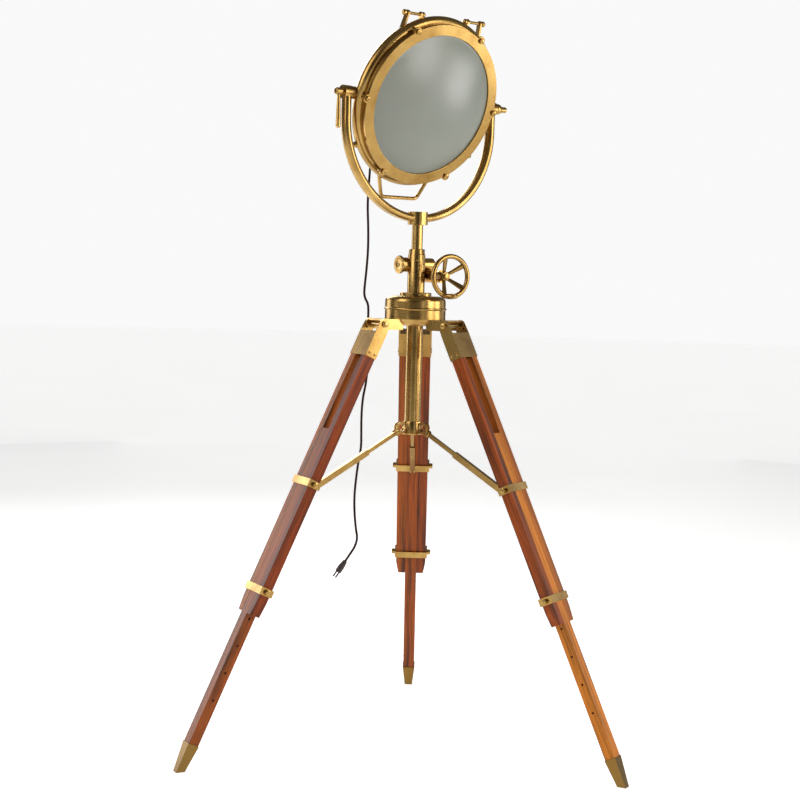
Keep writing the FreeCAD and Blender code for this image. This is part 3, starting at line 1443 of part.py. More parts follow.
def plug():
    """A small two-pin plug on the free end of the cord."""
    edge = S.collar_lip
    body = lathe("plug_body", [
        (ZERO, ZERO), (S.gland_tip_radius, ZERO), (S.plug_radius, S.plug_length / 2),
        (S.plug_radius, S.plug_length - edge), (S.plug_radius - edge, S.plug_length, edge),
        (ZERO, S.plug_length)])
    root_depth = S.plug_length / 2
    pins = [rod(f"plug_pin_{side + 1}", S.plug_pin_radius, root_depth + S.plug_pin_length,
                spot(side * S.plug_pin_spacing / 2, 0, root_depth)) for side in (-1, 1)]
    return fuse("plug", [body] + pins)


for label, route in CORD.items():
    part(label, tube(label, [Vector(*point) for point in route], SIZES["cord_diameter"] / 2), Placement())
last_spots = [Vector(*point) for point in CORD["cord_hanging"][-2:]]
plug_way = last_spots[1] - last_spots[0]
part("plug", plug(), Placement(last_spots[1], Rotation(Vector(0, 0, 1), plug_way)))


# ---------------------------------------------------------------- files

document.recompute()
failed = [item.Name for item in document.Objects if {"Invalid", "Error"} & set(item.State)]
broken = [item.Label for item in PARTS if item.Shape.isNull() or not item.Shape.isValid()]
if failed or broken:
    raise RuntimeError(f"objects that failed: {failed}; shapes that are not valid: {broken}")
os.makedirs("parts", exist_ok=True)
for item in PARTS:
    item.Shape.exportStep(f"parts/{item.Label}.step")
print(len(PARTS), "sub-parts written")
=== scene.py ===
"""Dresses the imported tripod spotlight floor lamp: its finishes, its cord and the small
fittings, on a pale floor under soft studio light."""

import math

import bpy
from bpy.props import FloatProperty, FloatVectorProperty, PointerProperty
from mathutils import Matrix, Vector


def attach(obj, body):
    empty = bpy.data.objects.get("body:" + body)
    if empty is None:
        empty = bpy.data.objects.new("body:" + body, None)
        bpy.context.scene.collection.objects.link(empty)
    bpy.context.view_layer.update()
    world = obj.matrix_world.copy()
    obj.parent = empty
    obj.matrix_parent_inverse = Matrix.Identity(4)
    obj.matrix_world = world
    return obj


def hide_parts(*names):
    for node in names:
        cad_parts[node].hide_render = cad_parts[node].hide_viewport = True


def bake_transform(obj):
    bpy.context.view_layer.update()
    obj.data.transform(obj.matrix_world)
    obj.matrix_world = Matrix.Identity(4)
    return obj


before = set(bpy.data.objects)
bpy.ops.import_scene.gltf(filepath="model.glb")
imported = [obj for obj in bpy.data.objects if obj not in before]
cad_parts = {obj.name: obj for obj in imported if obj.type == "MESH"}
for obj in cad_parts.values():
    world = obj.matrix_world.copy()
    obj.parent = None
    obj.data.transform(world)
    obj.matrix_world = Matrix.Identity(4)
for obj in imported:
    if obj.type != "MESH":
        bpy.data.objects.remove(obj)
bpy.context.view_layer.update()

bl_info = {
    "name": "Tripod Spotlight Floor Lamp",
    "version": (1, 0, 0),
    "blender": (4, 5, 0),
    "location": "View3D > Sidebar > Spotlight Lamp",
    "description": "Finishes and fittings of a brass spotlight on a wooden tripod",
    "category": "Object",
}


# ---------------------------------------------------------------- places

MM = 0.001

# Lengths below are in millimetres, and turns and slopes in degrees.
LEG_AZIMUTH = {"left": 210, "right": 330, "back": 90}
HINGE_RADIUS, HINGE_LEVEL = 105.4, 1053.6
LEG_SPLAY = 25.147
ARM_RADIUS, ARM_LEVEL = 45, 785
ARM_SLOPE = -30.048
BARREL_BACK = 19
WHEEL_SIDE, WHEEL_DROP = 38, 26.6


def turn(degrees, axis):
    return Matrix.Rotation(math.radians(degrees), 4, axis)


def shift(x, y, z):
    """A move given in millimetres."""
    return Matrix.Translation(Vector((x, y, z)) * MM)


# Places on the lamp. The column's is where its axis meets the floor, the gear's and the
# yoke's are higher on that axis, and the handwheel's and the glass's have Z outward.
COLUMN = shift(0, -150, 0)
GEAR = COLUMN @ shift(0, 0, 1199.6) @ turn(33, "Z")
BARREL = GEAR @ shift(0, BARREL_BACK, 0)
HANDWHEEL = GEAR @ shift(WHEEL_SIDE, 0, -WHEEL_DROP) @ turn(90, "X")
YOKE = COLUMN @ shift(0, 0, 1600.5) @ turn(40.42, "Z")
LENS = YOKE @ turn(20.28, "X") @ turn(90, "X")


def facing(azimuth):
    """The column's place, turned so that Y points along a heading."""
    return COLUMN @ turn(azimuth - 90, "Z")


def leg_place(leg):
    """A leg's own place: Z runs up the leg, Y outward and X across it."""
    return (facing(LEG_AZIMUTH[leg]) @ shift(0, HINGE_RADIUS, HINGE_LEVEL)
            @ turn(LEG_SPLAY, "X"))


def arm_place(leg):
    """A spreader arm's own place: Y runs along the arm."""
    return (facing(LEG_AZIMUTH[leg]) @ shift(0, ARM_RADIUS, ARM_LEVEL)
            @ turn(ARM_SLOPE, "X"))


# ---------------------------------------------------------------- sizes and colours

def colour(name, text, default):
    return FloatVectorProperty(name=name, description=text, subtype="COLOR", size=3,
                               min=0, max=1, default=default)


def length(name, text, default):
    return FloatProperty(name=name, description=text, unit="LENGTH", min=0.0001,
                         default=default)


def power(name, text, default):
    return FloatProperty(name=name, description=text, unit="POWER", min=0, default=default)


class LampFinishes(bpy.types.PropertyGroup):
    brass_light: colour("Bright brass", "Rubbed brass on the open faces",
                        (0.575, 0.368, 0.120))
    brass_dark: colour("Aged brass", "Brass where the lacquer has darkened",
                       (0.235, 0.122, 0.026))
    brass_roughness: FloatProperty(
        name="Brass roughness", description="How matt the satin brass is", subtype="FACTOR",
        min=0, max=1, default=0.22)
    wood_red: colour("Red wood", "The main colour of the rosewood", (0.195, 0.029, 0.0015))
    wood_dark: colour("Dark grain", "The dark streaks in the wood", (0.030, 0.006, 0.003))
    wood_tan: colour("Tan wood", "The lightest boards", (0.60, 0.190, 0.010))
    glass_tint: colour("Frosted glass", "The grey-green of the front glass",
                       (0.20, 0.215, 0.175))
    cord_brown: colour("Cord sheath", "The dark brown sheath", (0.022, 0.005, 0.004))


class LampSizes(bpy.types.PropertyGroup):
    cord_diameter: length("Cord", "Diameter of the cord", 0.006)
    bezel_screw: length("Bezel screw", "Radius of a bezel screw's head", 0.00675)
    band_screw: length("Band screw", "Radius of the slotted cap on a band's bolt", 0.0066)
    cap_screw: length("Leg cap screw", "Radius of the small screws in a leg cap", 0.0032)
    slot_width: length("Screw slot", "Width of the slot in a screw's head", 0.0014)


class LampStage(bpy.types.PropertyGroup):
    floor_colour: colour("Floor", "The pale floor", (0.86, 0.86, 0.855))
    key_power: power("Key light", "Power of the large front light", 72.0)
    fill_power: power("Fill light", "Power of the light on the right", 50.0)


# ---------------------------------------------------------------- finishes

BLACK, WHITE = (0, 0, 0), (1, 1, 1)


def shaded(tone, factor):
    """A colour made lighter or darker, and never brighter than white."""
    return tuple(min(1, factor * part) for part in tone)


class Finish:
    """A material that is mixed one node at a time."""

    def __init__(self, name):
        self.material = bpy.data.materials.new(name)
        self.material.use_nodes = True
        self.tree = self.material.node_tree
        self.shader = self.tree.nodes["Principled BSDF"]

    def node(self, kind, inputs=(), **settings):
        """Adds a node. Inputs go by name or index, and are a value or another's socket."""
        made = self.tree.nodes.new("ShaderNode" + kind)
        for key, value in settings.items():
            setattr(made, key, value)
        for key, value in dict(inputs).items():
            self.feed(made.inputs[key], value)
        return made

    def feed(self, socket, value):
        if isinstance(value, bpy.types.NodeSocket):
            self.tree.links.new(value, socket)
        else:
            socket.default_value = value

    def shade(self, **values):
        """Sets the shader's inputs, with _ for the spaces in their names."""
        for key, value in values.items():
            self.feed(self.shader.inputs[key.replace("_", " ")], value)

    def maths(self, operation, first, second=0.0):
        """A calculation with two numbers."""
        return self.node("Math", {0: first, 1: second}, operation=operation).outputs[0]

    def vectors(self, operation, first, second=(0, 0, 0)):
        """A calculation with two vectors, as a node."""
        return self.node("VectorMath", {0: first, 1: second}, operation=operation)

    def local(self, place):
        """Object coordinates, seen from a place on the lamp."""
        at = self.node("TexCoord").outputs["Object"]
        return self.node("Mapping", {
            "Vector": at, "Location": place.to_translation(), "Rotation": place.to_euler()},
            vector_type="TEXTURE").outputs[0]

    def stretched(self, vector, scale):
        return self.node("Mapping", {"Vector": vector, "Scale": scale}).outputs[0]

    def noise(self, vector, scale=1.0, detail=3.0, roughness=0.5):
        return self.node("TexNoise", {
            "Vector": vector, "Scale": scale, "Detail": detail,
            "Roughness": roughness}).outputs["Fac"]

    def ramp(self, value, stops):
        """A colour ramp from (place, colour) stops."""
        made = self.node("ValToRGB", {"Fac": value})
        band = made.color_ramp
        while len(band.elements) < len(stops):
            band.elements.new(0.5)
        for element, (position, tone) in zip(band.elements, stops):
            element.position = position
            element.color = (*tone, 1.0)
        return made.outputs["Color"]

    def mix(self, amount, first, second):
        """The first colour where the amount is 0, and the second where it is 1."""
        made = self.node("Mix", data_type="RGBA")
        self.feed(made.inputs["Factor"], amount)
        colours = [socket for socket in made.inputs if socket.type == "RGBA"]
        for socket, value in zip(colours, (first, second)):
            value = value if isinstance(value, bpy.types.NodeSocket) else (*value, 1.0)
            self.feed(socket, value)
        return next(socket for socket in made.outputs if socket.type == "RGBA")

    def spread(self, value, low, high):
        """A value from 0 to 1, brought between low and high."""
        return self.node("MapRange", {
            "Value": value, "To Min": low, "To Max": high}).outputs[0]

    def bump(self, height, depth, strength, under=None):
        """Relief of a depth in metres, on top of other relief."""
        inputs = {"Height": height, "Distance": depth, "Strength": strength}
        if under is not None:
            inputs["Normal"] = under
        return self.node("Bump", inputs).outputs[0]


# Fine marks or pores to the metre, across the way a surface was worked or grew.
FINE = 1500.0
TARNISH = (0.24, 0.13, 0.04)


def ring_marks(finish, at):
    """Fine marks that run round the Z axis of a spun or turned piece."""
    split = finish.node("SeparateXYZ", {0: at})
    flat = finish.node("CombineXYZ", {0: split.outputs[0], 1: split.outputs[1]}).outputs[0]
    radius = finish.vectors("LENGTH", flat).outputs["Value"]
    way = finish.node("SeparateXYZ", {0: finish.vectors("NORMALIZE", flat).outputs[0]})
    height = finish.maths("MULTIPLY", split.outputs[2], FINE)
    ringed = finish.node("CombineXYZ", {0: way.outputs[0], 1: way.outputs[1], 2: height})
    return finish.node("TexNoise", {
        "Vector": ringed.outputs[0], "W": finish.maths("MULTIPLY", radius, FINE),
        "Scale": 1.0, "Detail": 2.0}, noise_dimensions="4D").outputs["Fac"]


def brass(name, place, spun, options, tone):
    """Satin brass. Spun brass has its fine marks round its own axis, and the rest has
    them along its length. A higher tone is darker: it ages the brass more, and above
    0.8 it also dims the bright brass, which is painted shade."""
    finish = Finish(name)
    at = finish.local(place)
    if spun:
        marks = ring_marks(finish, at)
    else:
        marks = finish.noise(finish.stretched(at, (FINE, FINE, 25)), detail=2.0)
    patches = finish.noise(at, scale=16.0, roughness=0.55)
    specks = finish.noise(at, scale=260.0, detail=2.0)
    aged_from = 0.30 + 0.2 * (0.5 - tone)
    aged = finish.ramp(patches, [(aged_from, BLACK), (0.86, WHITE)])
    # Above a tone of 0.8 the bright brass is dimmed: painted shade, on the head, the
    # handwheel and the feet.
    painted_shade_dim = 1 - 0.9 * max(0, tone - 0.8)
    base = finish.mix(aged, shaded(options.brass_light, painted_shade_dim), options.brass_dark)
    streaked = finish.mix(finish.spread(marks, 0.0, 0.15), base, options.brass_dark)
    spotted = finish.ramp(specks, [(0.66, BLACK), (0.76, WHITE)])
    worn = finish.mix(finish.maths("MULTIPLY", spotted, 0.14), streaked, TARNISH)
    matt = finish.maths("ADD", finish.spread(marks, -0.02, 0.05),
                        finish.spread(patches, options.brass_roughness - 0.03,
                                      options.brass_roughness + 0.08))
    relief = finish.bump(marks, depth=0.00001, strength=0.04)
    finish.shade(Base_Color=worn, Metallic=1.0, Roughness=matt,
                 Normal=finish.bump(patches, depth=0.0003, strength=0.05, under=relief))
    return finish.material


def wood(name, place, options, left, right=None):
    """Oiled rosewood with its grain along the leg. Left and right say how light the two
    boards of a leg are, and a single board has left alone. That lightness is partly
    the wood's own tone and partly painted shade."""
    finish = Finish(name)
    at = finish.local(place)
    sway = finish.node("TexNoise", {"Vector": at, "Scale": 3.5}).outputs["Color"]
    sway = finish.vectors("MULTIPLY", sway, (0.012, 0.012, 0.0)).outputs[0]
    bent = finish.vectors("ADD", at, sway).outputs[0]
    broad = finish.noise(finish.stretched(bent, (85, 85, 2.6)), detail=5.0, roughness=0.58)
    lines = finish.noise(finish.stretched(bent, (420, 420, 7)), roughness=0.6)
    pores = finish.noise(finish.stretched(bent, (FINE, FINE, 55)), detail=2.0)
    red = finish.ramp(broad, [(0.32, options.wood_dark), (0.50, options.wood_red),
                              (0.72, shaded(options.wood_red, 2.1))])
    pale = finish.ramp(broad, [(0.28, shaded(options.wood_tan, 0.30)),
                               (0.48, options.wood_tan),
                               (0.75, shaded(options.wood_tan, 1.25))])
    # The boards' lightness: the wood's own tone, and painted shade that darkens the board
    # facing the camera on the front legs.
    lightness = left
    if right is not None:
        across = finish.node("SeparateXYZ", {0: at}).outputs[0]
        lightness = finish.spread(finish.maths("GREATER_THAN", across), left, right)
    board = finish.mix(lightness, red, pale)
    lined = finish.mix(finish.ramp(lines, [(0.50, BLACK), (0.72, (0.62, 0.62, 0.62))]),
                       board, options.wood_dark)
    pitted = finish.ramp(pores, [(0.60, BLACK), (0.70, WHITE)])
    grain = finish.mix(finish.maths("MULTIPLY", pitted, 0.45), lined, options.wood_dark)
    relief = finish.bump(lines, depth=0.00025, strength=0.30)
    finish.shade(Base_Color=grain, Roughness=finish.spread(broad, 0.30, 0.46),
                 Normal=finish.bump(pitted, depth=-0.0002, strength=0.35, under=relief),
                 Specular_IOR_Level=0.16, Coat_Weight=0.16, Coat_Roughness=0.25)
    return finish.material


def plain(name, tone, matt, scale, depth, **more):
    """A moulded, machined or glazed surface: slight mottling and a fine texture."""
    finish = Finish(name)
    at = finish.node("TexCoord").outputs["Object"]
    mottle = finish.noise(at, scale, detail=4.0)
    texture = finish.noise(at, 6 * scale, detail=2.0)
    finish.shade(Base_Color=finish.mix(mottle, tone, shaded(tone, 0.72)),
                 Roughness=finish.spread(mottle, matt - 0.06, matt + 0.08),
                 Normal=finish.bump(texture, depth, strength=0.4), **more)
    return finish.material


def frosted_glass(options):
    """The domed front glass: cloudy, grey-green, with a soft gloss, and a painted shade
    that darkens it towards its edge as the camera sees it.
    """
    finish = Finish("frosted_glass")
    at = finish.local(LENS)
    cloud = finish.noise(at, scale=5.5)
    grain = finish.noise(at, scale=900.0, detail=2.0)
    # Painted shade: the glass turns darker where its face turns away from the view.
    rim = finish.node("LayerWeight", {"Blend": 0.35}).outputs["Facing"]
    dark = shaded(options.glass_tint, 0.80)
    body = finish.mix(cloud, dark, shaded(options.glass_tint, 1.22))
    body = finish.mix(finish.maths("MULTIPLY", rim, 0.35), body, dark)
    finish.shade(Base_Color=body, Roughness=finish.spread(grain, 0.34, 0.42),
                 Transmission_Weight=0.08, IOR=1.45, Coat_Weight=0.75, Coat_Roughness=0.27,
                 Normal=finish.bump(grain, depth=0.00005, strength=0.2))
    return finish.material


def dress(node, material):
    """Gives a CAD node its finish."""
    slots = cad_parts[node].data.materials
    slots.clear()
    slots.append(material)


# ---------------------------------------------------------------- modelling by hand

def start():
    """Nothing selected, object mode."""
    if bpy.context.object and bpy.context.object.mode != "OBJECT":
        bpy.ops.object.mode_set(mode="OBJECT")
    bpy.ops.object.select_all(action="DESELECT")


def pick(*pieces):
    """Selects the pieces alone and makes the first one active."""
    start()
    for piece in pieces:
        piece.select_set(True)
    bpy.context.view_layer.objects.active = pieces[0]


def pick_faces(piece, test):
    """Leaves edit mode's selection on the faces that pass the test."""
    pick(piece)
    bpy.ops.object.mode_set(mode="EDIT")
    bpy.ops.mesh.select_mode(type="FACE")
    bpy.ops.mesh.select_all(action="DESELECT")
    bpy.ops.object.mode_set(mode="OBJECT")
    for face in piece.data.polygons:
        face.select = test(face)
    bpy.ops.object.mode_set(mode="EDIT")


def set_place(piece):
    """Puts a piece's place, turn and size into its mesh."""
    pick(piece)
    bpy.ops.object.transform_apply(location=True, rotation=True, scale=True)


def settle(piece, place):
    """Moves a modelled piece to its place, which goes into its mesh."""
    piece.matrix_world = place
    set_place(piece)
    return piece


def soften(piece, degrees):
    """Rounds the shading across shallow edges."""
    pick(piece)
    bpy.ops.object.shade_smooth_by_angle(angle=math.radians(degrees))


def round_edges(piece, width, segments=3):
    """Bevels the edges that turn by more than 50 degrees."""
    pick(piece)
    edge = piece.modifiers.new("edge", "BEVEL")
    edge.width = width
    edge.segments = segments
    edge.limit_method = "ANGLE"
    edge.angle_limit = math.radians(50)
    bpy.ops.object.modifier_apply(modifier="edge")


def solid_cut(piece, cutter):
    """Takes the cutter out of the piece, and removes the cutter."""
    pick(piece)
    cut = piece.modifiers.new("cut", "BOOLEAN")
    cut.operation = "DIFFERENCE"
    cut.object = cutter
    bpy.ops.object.modifier_apply(modifier="cut")
    bpy.data.objects.remove(cutter)


def joined(name, pieces):
    """The pieces as one."""
    pick(*pieces)
    if len(pieces) > 1:
        bpy.ops.object.join()
    pieces[0].name = name
    return pieces[0]


def copies(name, blank, places):
    """Copies of a modelled piece at several places, each with its own mesh, joined."""
    made = []
    for place in places:
        pick(blank)
        bpy.ops.object.duplicate()
        made.append(settle(bpy.context.object, place))
    return joined(name, made)


def cylinder(name, radius, depth, middle, corners=48):
    """A cylinder round the Z axis, in metres, with its place not yet in its mesh."""
    start()
    bpy.ops.mesh.primitive_cylinder_add(vertices=corners, radius=radius, depth=depth,
                                        location=(0, 0, middle))
    piece = bpy.context.object
    piece.name = name
    return piece


def bar(name, radius, depth, place, corners=48, round_off=0.0):
    """A round or many-sided bar that starts at its place and runs along its Z, in
    millimetres."""
    piece = cylinder(name, radius * MM, depth * MM, depth * MM / 2, corners)
    set_place(piece)
    if round_off:
        round_edges(piece, round_off * MM)
    soften(piece, 16)
    return settle(piece, place)


def spun_piece(name, outline, steps=96):
    """A turned piece: an outline of (radius, height) in millimetres, spun round Z."""
    start()
    bpy.ops.mesh.primitive_circle_add(vertices=len(outline), radius=1, fill_type="NOTHING")
    piece = bpy.context.object
    piece.name = name
    for vertex, (radius, height) in zip(piece.data.vertices, outline):
        vertex.co = (radius * MM, 0, height * MM)
    bpy.ops.object.mode_set(mode="EDIT")
    bpy.ops.mesh.select_all(action="SELECT")
    bpy.ops.mesh.spin(steps=steps, angle=2 * math.pi, center=(0, 0, 0), axis=(0, 0, 1))
    bpy.ops.mesh.select_all(action="SELECT")
    bpy.ops.mesh.remove_doubles(threshold=0.00001)
    bpy.ops.mesh.delete_loose(use_verts=True, use_edges=True, use_faces=False)
    bpy.ops.mesh.select_all(action="SELECT")
    bpy.ops.mesh.normals_make_consistent(inside=False)
    bpy.ops.object.mode_set(mode="OBJECT")
    soften(piece, 32)
    return piece


def dome_line(edge, foot, crown, points=26):
    """Points of (radius, height) along a ball's outline, from its crown to its foot."""
    rise = crown - foot
    ball = (edge * edge + rise * rise) / (2 * rise)
    most = math.asin(edge / ball)
    return [(ball * math.sin(most * step / points),
             crown - ball + ball * math.cos(most * step / points))
            for step in range(points + 1)]


def screw_blank(name, radius, depth, slot):
    """A screw's head with a domed edge and a slot, in metres: its foot is at 0 and Z is
    outward."""
    head = cylinder(name, radius, depth, depth / 2)
    pick_faces(head, lambda face: face.normal.z > 0.9)
    bpy.ops.mesh.inset(thickness=0.10 * radius, depth=0.0)
    bpy.ops.mesh.inset(thickness=0.12 * radius, depth=0.05 * radius)
    bpy.ops.object.mode_set(mode="OBJECT")
    set_place(head)
    round_edges(head, 0.12 * radius)
    start()
    bpy.ops.mesh.primitive_cube_add(size=1, location=(0, 0, depth + 0.05 * radius))
    blade = bpy.context.object
    blade.scale = (slot, 3 * radius, 0.56 * depth)
    set_place(blade)
    solid_cut(head, blade)
    soften(head, 30)
    return head


def finish_piece(piece, material, body):
    """Gives a new piece its finish and the body that it moves with."""
    piece.data.materials.clear()
    piece.data.materials.append(material)
    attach(piece, body)


def fit_screws(name, size, places, material, body):
    """Slotted screws of one (radius, depth, slot width) at their places."""
    blank = screw_blank(name + "_blank", *size)
    finish_piece(copies(name, blank, places), bpy.data.materials[material], body)
    bpy.data.objects.remove(blank)


# ---------------------------------------------------------------- the cord

# The cord's route in millimetres, in the four stretches that meet at the joints.
AT_HEAD = [(-83.6, -51.9, 1648.1), (-106.4, -25.0, 1661.2), (-127.0, -3.0, 1648.0),
           (-131.5, 3.0, 1611.0), (-129.5, 2.0, 1570.0), (-128.85, 2.3, 1545.0)]
AT_STEM = [(-128.85, 2.3, 1545.0), (-128.2, 2.6, 1520.0), (-126.6, 2.2, 1462.0),
           (-129.6, 2.4, 1405.0), (-131.8, 2.2, 1350.0), (-128.4, 2.6, 1295.0),
           (-127.8, 2.4, 1267.5)]
AT_COLUMN = [(-127.8, 2.4, 1267.5), (-127.2, 2.2, 1240.0), (-129.8, 2.5, 1190.0),
             (-133.2, 2.2, 1150.0), (-135.0, 2.3, 1124.0), (-131.0, 2.6, 1110.0),
             (-124.5, 2.4, 1100.0), (-122.4, 2.2, 1082.0), (-123.4, 2.4, 1050.0),
             (-121.2, 2.2, 1000.0), (-120.8, 2.5, 945.0), (-122.1, 2.4, 921.0)]
HANGING = [(-122.1, 2.4, 921.0), (-123.4, 2.3, 897.0), (-131.0, 2.2, 860.0),
           (-133.9, 2.4, 815.0), (-133.0, 2.2, 765.0), (-132.2, 2.4, 728.0),
           (-139.0, 2.2, 688.0), (-143.8, 2.4, 645.0), (-147.0, 2.2, 600.0),
           (-145.4, 2.4, 556.0), (-141.0, 2.2, 516.0), (-136.0, 2.3, 492.0),
           (-141.5, 2.4, 470.0), (-153.5, 2.2, 450.0), (-166.4, 2.3, 430.0)]

# The stretches that cross a joint: the piece, the CAD node it stands for, the route, the
# real length in metres, and the bodies at its upper and its lower end.
CROSSING = (
    ("cord_head_run", "cord_at_head", AT_HEAD, 0.171, "head_body", "stem_body"),
    ("cord_stem_run", "cord_at_stem", AT_STEM, 0.278, "stem_body", "column_body"),
    ("cord_column_run", "cord_at_column", AT_COLUMN, 0.349, "column_body", "root"),
)


def cord_curve(name, route, radius):
    """A cord along a smooth line, and the points of that line."""
    line = bpy.data.curves.new(name, "CURVE")
    line.dimensions = "3D"
    line.resolution_u = 12
    spline = line.splines.new("NURBS")
    spline.points.add(len(route) - 1)
    for point, spot in zip(spline.points, route):
        point.co = (*(Vector(spot) * MM), 1.0)
    spline.order_u = 3
    spline.use_endpoint_u = True
    piece = bpy.data.objects.new(name, line)
    bpy.context.scene.collection.objects.link(piece)
    bpy.context.view_layer.update()
    centre = bpy.data.meshes.new_from_object(piece)
    path = [tuple(vertex.co) for vertex in centre.vertices]
    bpy.data.meshes.remove(centre)
    line.bevel_depth = radius
    line.bevel_resolution = 5
    line.use_fill_caps = True
    return piece, path


# ---------------------------------------------------------------- the operators

class LampOperator:
    """What the lamp's steps share."""
    bl_options = {"REGISTER", "UNDO"}

    @property
    def finishes(self):
        return bpy.context.scene.lamp_finishes

    @property
    def sizes(self):
        return bpy.context.scene.lamp_sizes


class LAMP_OT_cord(LampOperator, bpy.types.Operator):
    """Hangs the cord from the head to the plug, in four stretches"""
    bl_idname = "lamp.cord"
    bl_label = "Hang the Cord"

    def execute(self, context):
        thick = self.sizes.cord_diameter
        sheath = plain("cord_sheath", self.finishes.cord_brown, matt=0.70, scale=220.0,
                       depth=0.0001, Specular_IOR_Level=0.2)
        for name, node, route, real_length, upper, lower in CROSSING:
            piece, path = cord_curve(name, route, thick / 2)
            pick(piece)
            bpy.ops.object.convert(target="MESH")
            piece = bpy.context.object
            piece.name = name
            soften(piece, 60)
            piece.data.materials.clear()
            piece.data.materials.append(sheath)
            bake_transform(piece)
            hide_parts(node)
        tail, path = cord_curve("cord_free_run", HANGING, thick / 2)
        tail.data.materials.append(sheath)
        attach(tail, "root")
        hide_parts("cord_hanging")
        dress("plug", plain("moulded_plug", (0.035, 0.018, 0.016), matt=0.5, scale=90.0,
                            depth=0.0001))
        return {"FINISHED"}


# Brass nodes with marks round an axis: the place whose Z is that axis, and how aged.
# A tone above 0.8, as on the head and the handwheel, also dims the bright brass as
# painted shade.
SPUN = {
    "column_brass": (COLUMN, 0.5, ["hub_skirt", "hub_dome", "base_tube", "turntable",
                                   "column", "stem", "tee_collar", "spreader_hub"]),
    "head_brass": (LENS, 0.9, ["lamp_shell", "bezel", "bezel_screws", "cord_gland"]),
    "pivot_brass": (YOKE @ turn(90, "Y"), 0.4, ["yoke_bosses", "trunnions", "pivot_knob"]),
    "gear_brass": (BARREL @ turn(90, "Y"), 0.45, ["gear_housing", "barrel_cap"]),
    "wheel_brass": (HANDWHEEL, 1.1, ["handwheel"]),
    "crank_brass": (HANDWHEEL, 0.0, ["crank_handle"]),
}
# Brass nodes with marks along a bar or strap, in the same form.
DRAWN = {
    "yoke_brass": (YOKE, 0.5, ["yoke"]),
    "grip_brass": (LENS @ turn(90, "Y"), 0.45, ["handle_brackets", "bail_handle"]),
    "lever_brass": (YOKE, 0.45, ["tilt_lever"]),
    "bracket_brass": (COLUMN, 0.6, ["leg_brackets", "leg_pins", "arm_pins"]),
}
# The feet's brass is more aged and, with its tone above 0.8, dimmed as painted shade.
LEG_BRASS_TONE, FOOT_BRASS_SHADE_TONE = 0.6, 1.5


class LAMP_OT_brass(LampOperator, bpy.types.Operator):
    """Gives every brass node its satin finish"""
    bl_idname = "lamp.brass"
    bl_label = "Finish the Brass"

    def execute(self, context):
        for table, spun in ((SPUN, True), (DRAWN, False)):
            for name, (place, tone, nodes) in table.items():
                material = brass(name, place, spun, self.finishes, tone)
                for node in nodes:
                    dress(node, material)
        for leg in LEG_AZIMUTH:
            fitting = brass(f"{leg}_leg_brass", leg_place(leg), False, self.finishes,
                            LEG_BRASS_TONE)
            foot = brass(f"{leg}_foot_brass", leg_place(leg), False, self.finishes,
                         FOOT_BRASS_SHADE_TONE)
            arm = brass(f"{leg}_arm_brass", arm_place(leg) @ turn(90, "X"), False,
                        self.finishes, LEG_BRASS_TONE)
            for node, material in (("leg_cap", fitting), ("leg_bands", fitting),
                                   ("foot_ferrule", foot), ("spreader_arm", arm),
                                   ("spreader_sleeve", arm)):
                dress(f"{leg}_{node}", material)
        return {"FINISHED"}


# How light the wood is, from red at 0 to tan at 1: left board, right board and slider.
# This is partly the wood's own tone and partly painted shade: on the two front legs the
# board that faces the camera is given the darker value.
WOOD_TANS_AND_SHADE = {"left": (0.02, 0.34, 0.20), "right": (0.50, 0.10, 0.95),
             "back": (0.22, 0.08, 0.14)}
# The slider's grain starts this far along, so that it differs from the boards'.
SLIDER_GRAIN = 311


class LAMP_OT_wood(LampOperator, bpy.types.Operator):
    """Oils the rosewood rails and sliders"""
    bl_idname = "lamp.wood"
    bl_label = "Finish the Wood"

    def execute(self, context):
        for leg, (left, right, slider) in WOOD_TANS_AND_SHADE.items():
            place = leg_place(leg)
            dress(f"{leg}_leg_rails",
                  wood(f"{leg}_rail_wood", place, self.finishes, left, right))
            dress(f"{leg}_leg_slider",
                  wood(f"{leg}_slider_wood", place @ shift(0, 0, SLIDER_GRAIN),
                       self.finishes, slider))
        return {"FINISHED"}


# Finishes of the hidden works: the nodes that each is for, and its look.
WORKS = {
    "machined_steel": (["rack", "wheel_shaft", "pinion"], {
        "tone": (0.52, 0.51, 0.50), "matt": 0.32, "scale": 130.0, "depth": 0.00008,
        "Metallic": 1.0}),
    "black_rubber": (["gasket"], {
        "tone": (0.028, 0.028, 0.028), "matt": 0.62, "scale": 150.0, "depth": 0.0001}),
    "satin_aluminium": (["reflector"], {
        "tone": (0.80, 0.81, 0.82), "matt": 0.24, "scale": 60.0, "depth": 0.00004,
        "Metallic": 1.0}),
    "glazed_ceramic": (["lampholder"], {
        "tone": (0.84, 0.82, 0.77), "matt": 0.18, "scale": 40.0, "depth": 0.00005,
        "Coat_Weight": 0.6}),
    "pearl_glass": (["bulb"], {
        "tone": (0.90, 0.88, 0.80), "matt": 0.22, "scale": 50.0, "depth": 0.00003,
        "Transmission_Weight": 0.35, "Coat_Weight": 0.5}),
}


class LAMP_OT_inside(LampOperator, bpy.types.Operator):
    """Finishes the glass and the pieces inside the head and the lifting gear"""
    bl_idname = "lamp.inside"
    bl_label = "Finish the Glass and Works"

    def execute(self, context):
        dress("lens", frosted_glass(self.finishes))
        for name, (nodes, look) in WORKS.items():
            material = plain(name, **look)
            for node in nodes:
                dress(node, material)
        return {"FINISHED"}


# The screws. Each head is sunk a little into what it clamps, and the slots stand at odd
# angles to each other, as where they were turned by hand.
SINK = 0.2
BEZEL_FRONT, CLAMP_CIRCLE, CLAMPS = 47.0, 198.0, 6
SHANK_RADIUS, SHANK_LENGTH = 3.2, 27.2
BAND_LEVELS, BOLT_END = (424.0, 702.0), 51.0
CAP_SIDE, CAP_SCREW_LEVEL, CAP_SCREW_APART = 42.0, 78, 8
PIN_END = 46.3
CLAMP_HEAD, BAND_HEAD, CAP_HEAD, PIN_HEAD = 5 * MM, 1.8 * MM, 1.4 * MM, 1.5 * MM


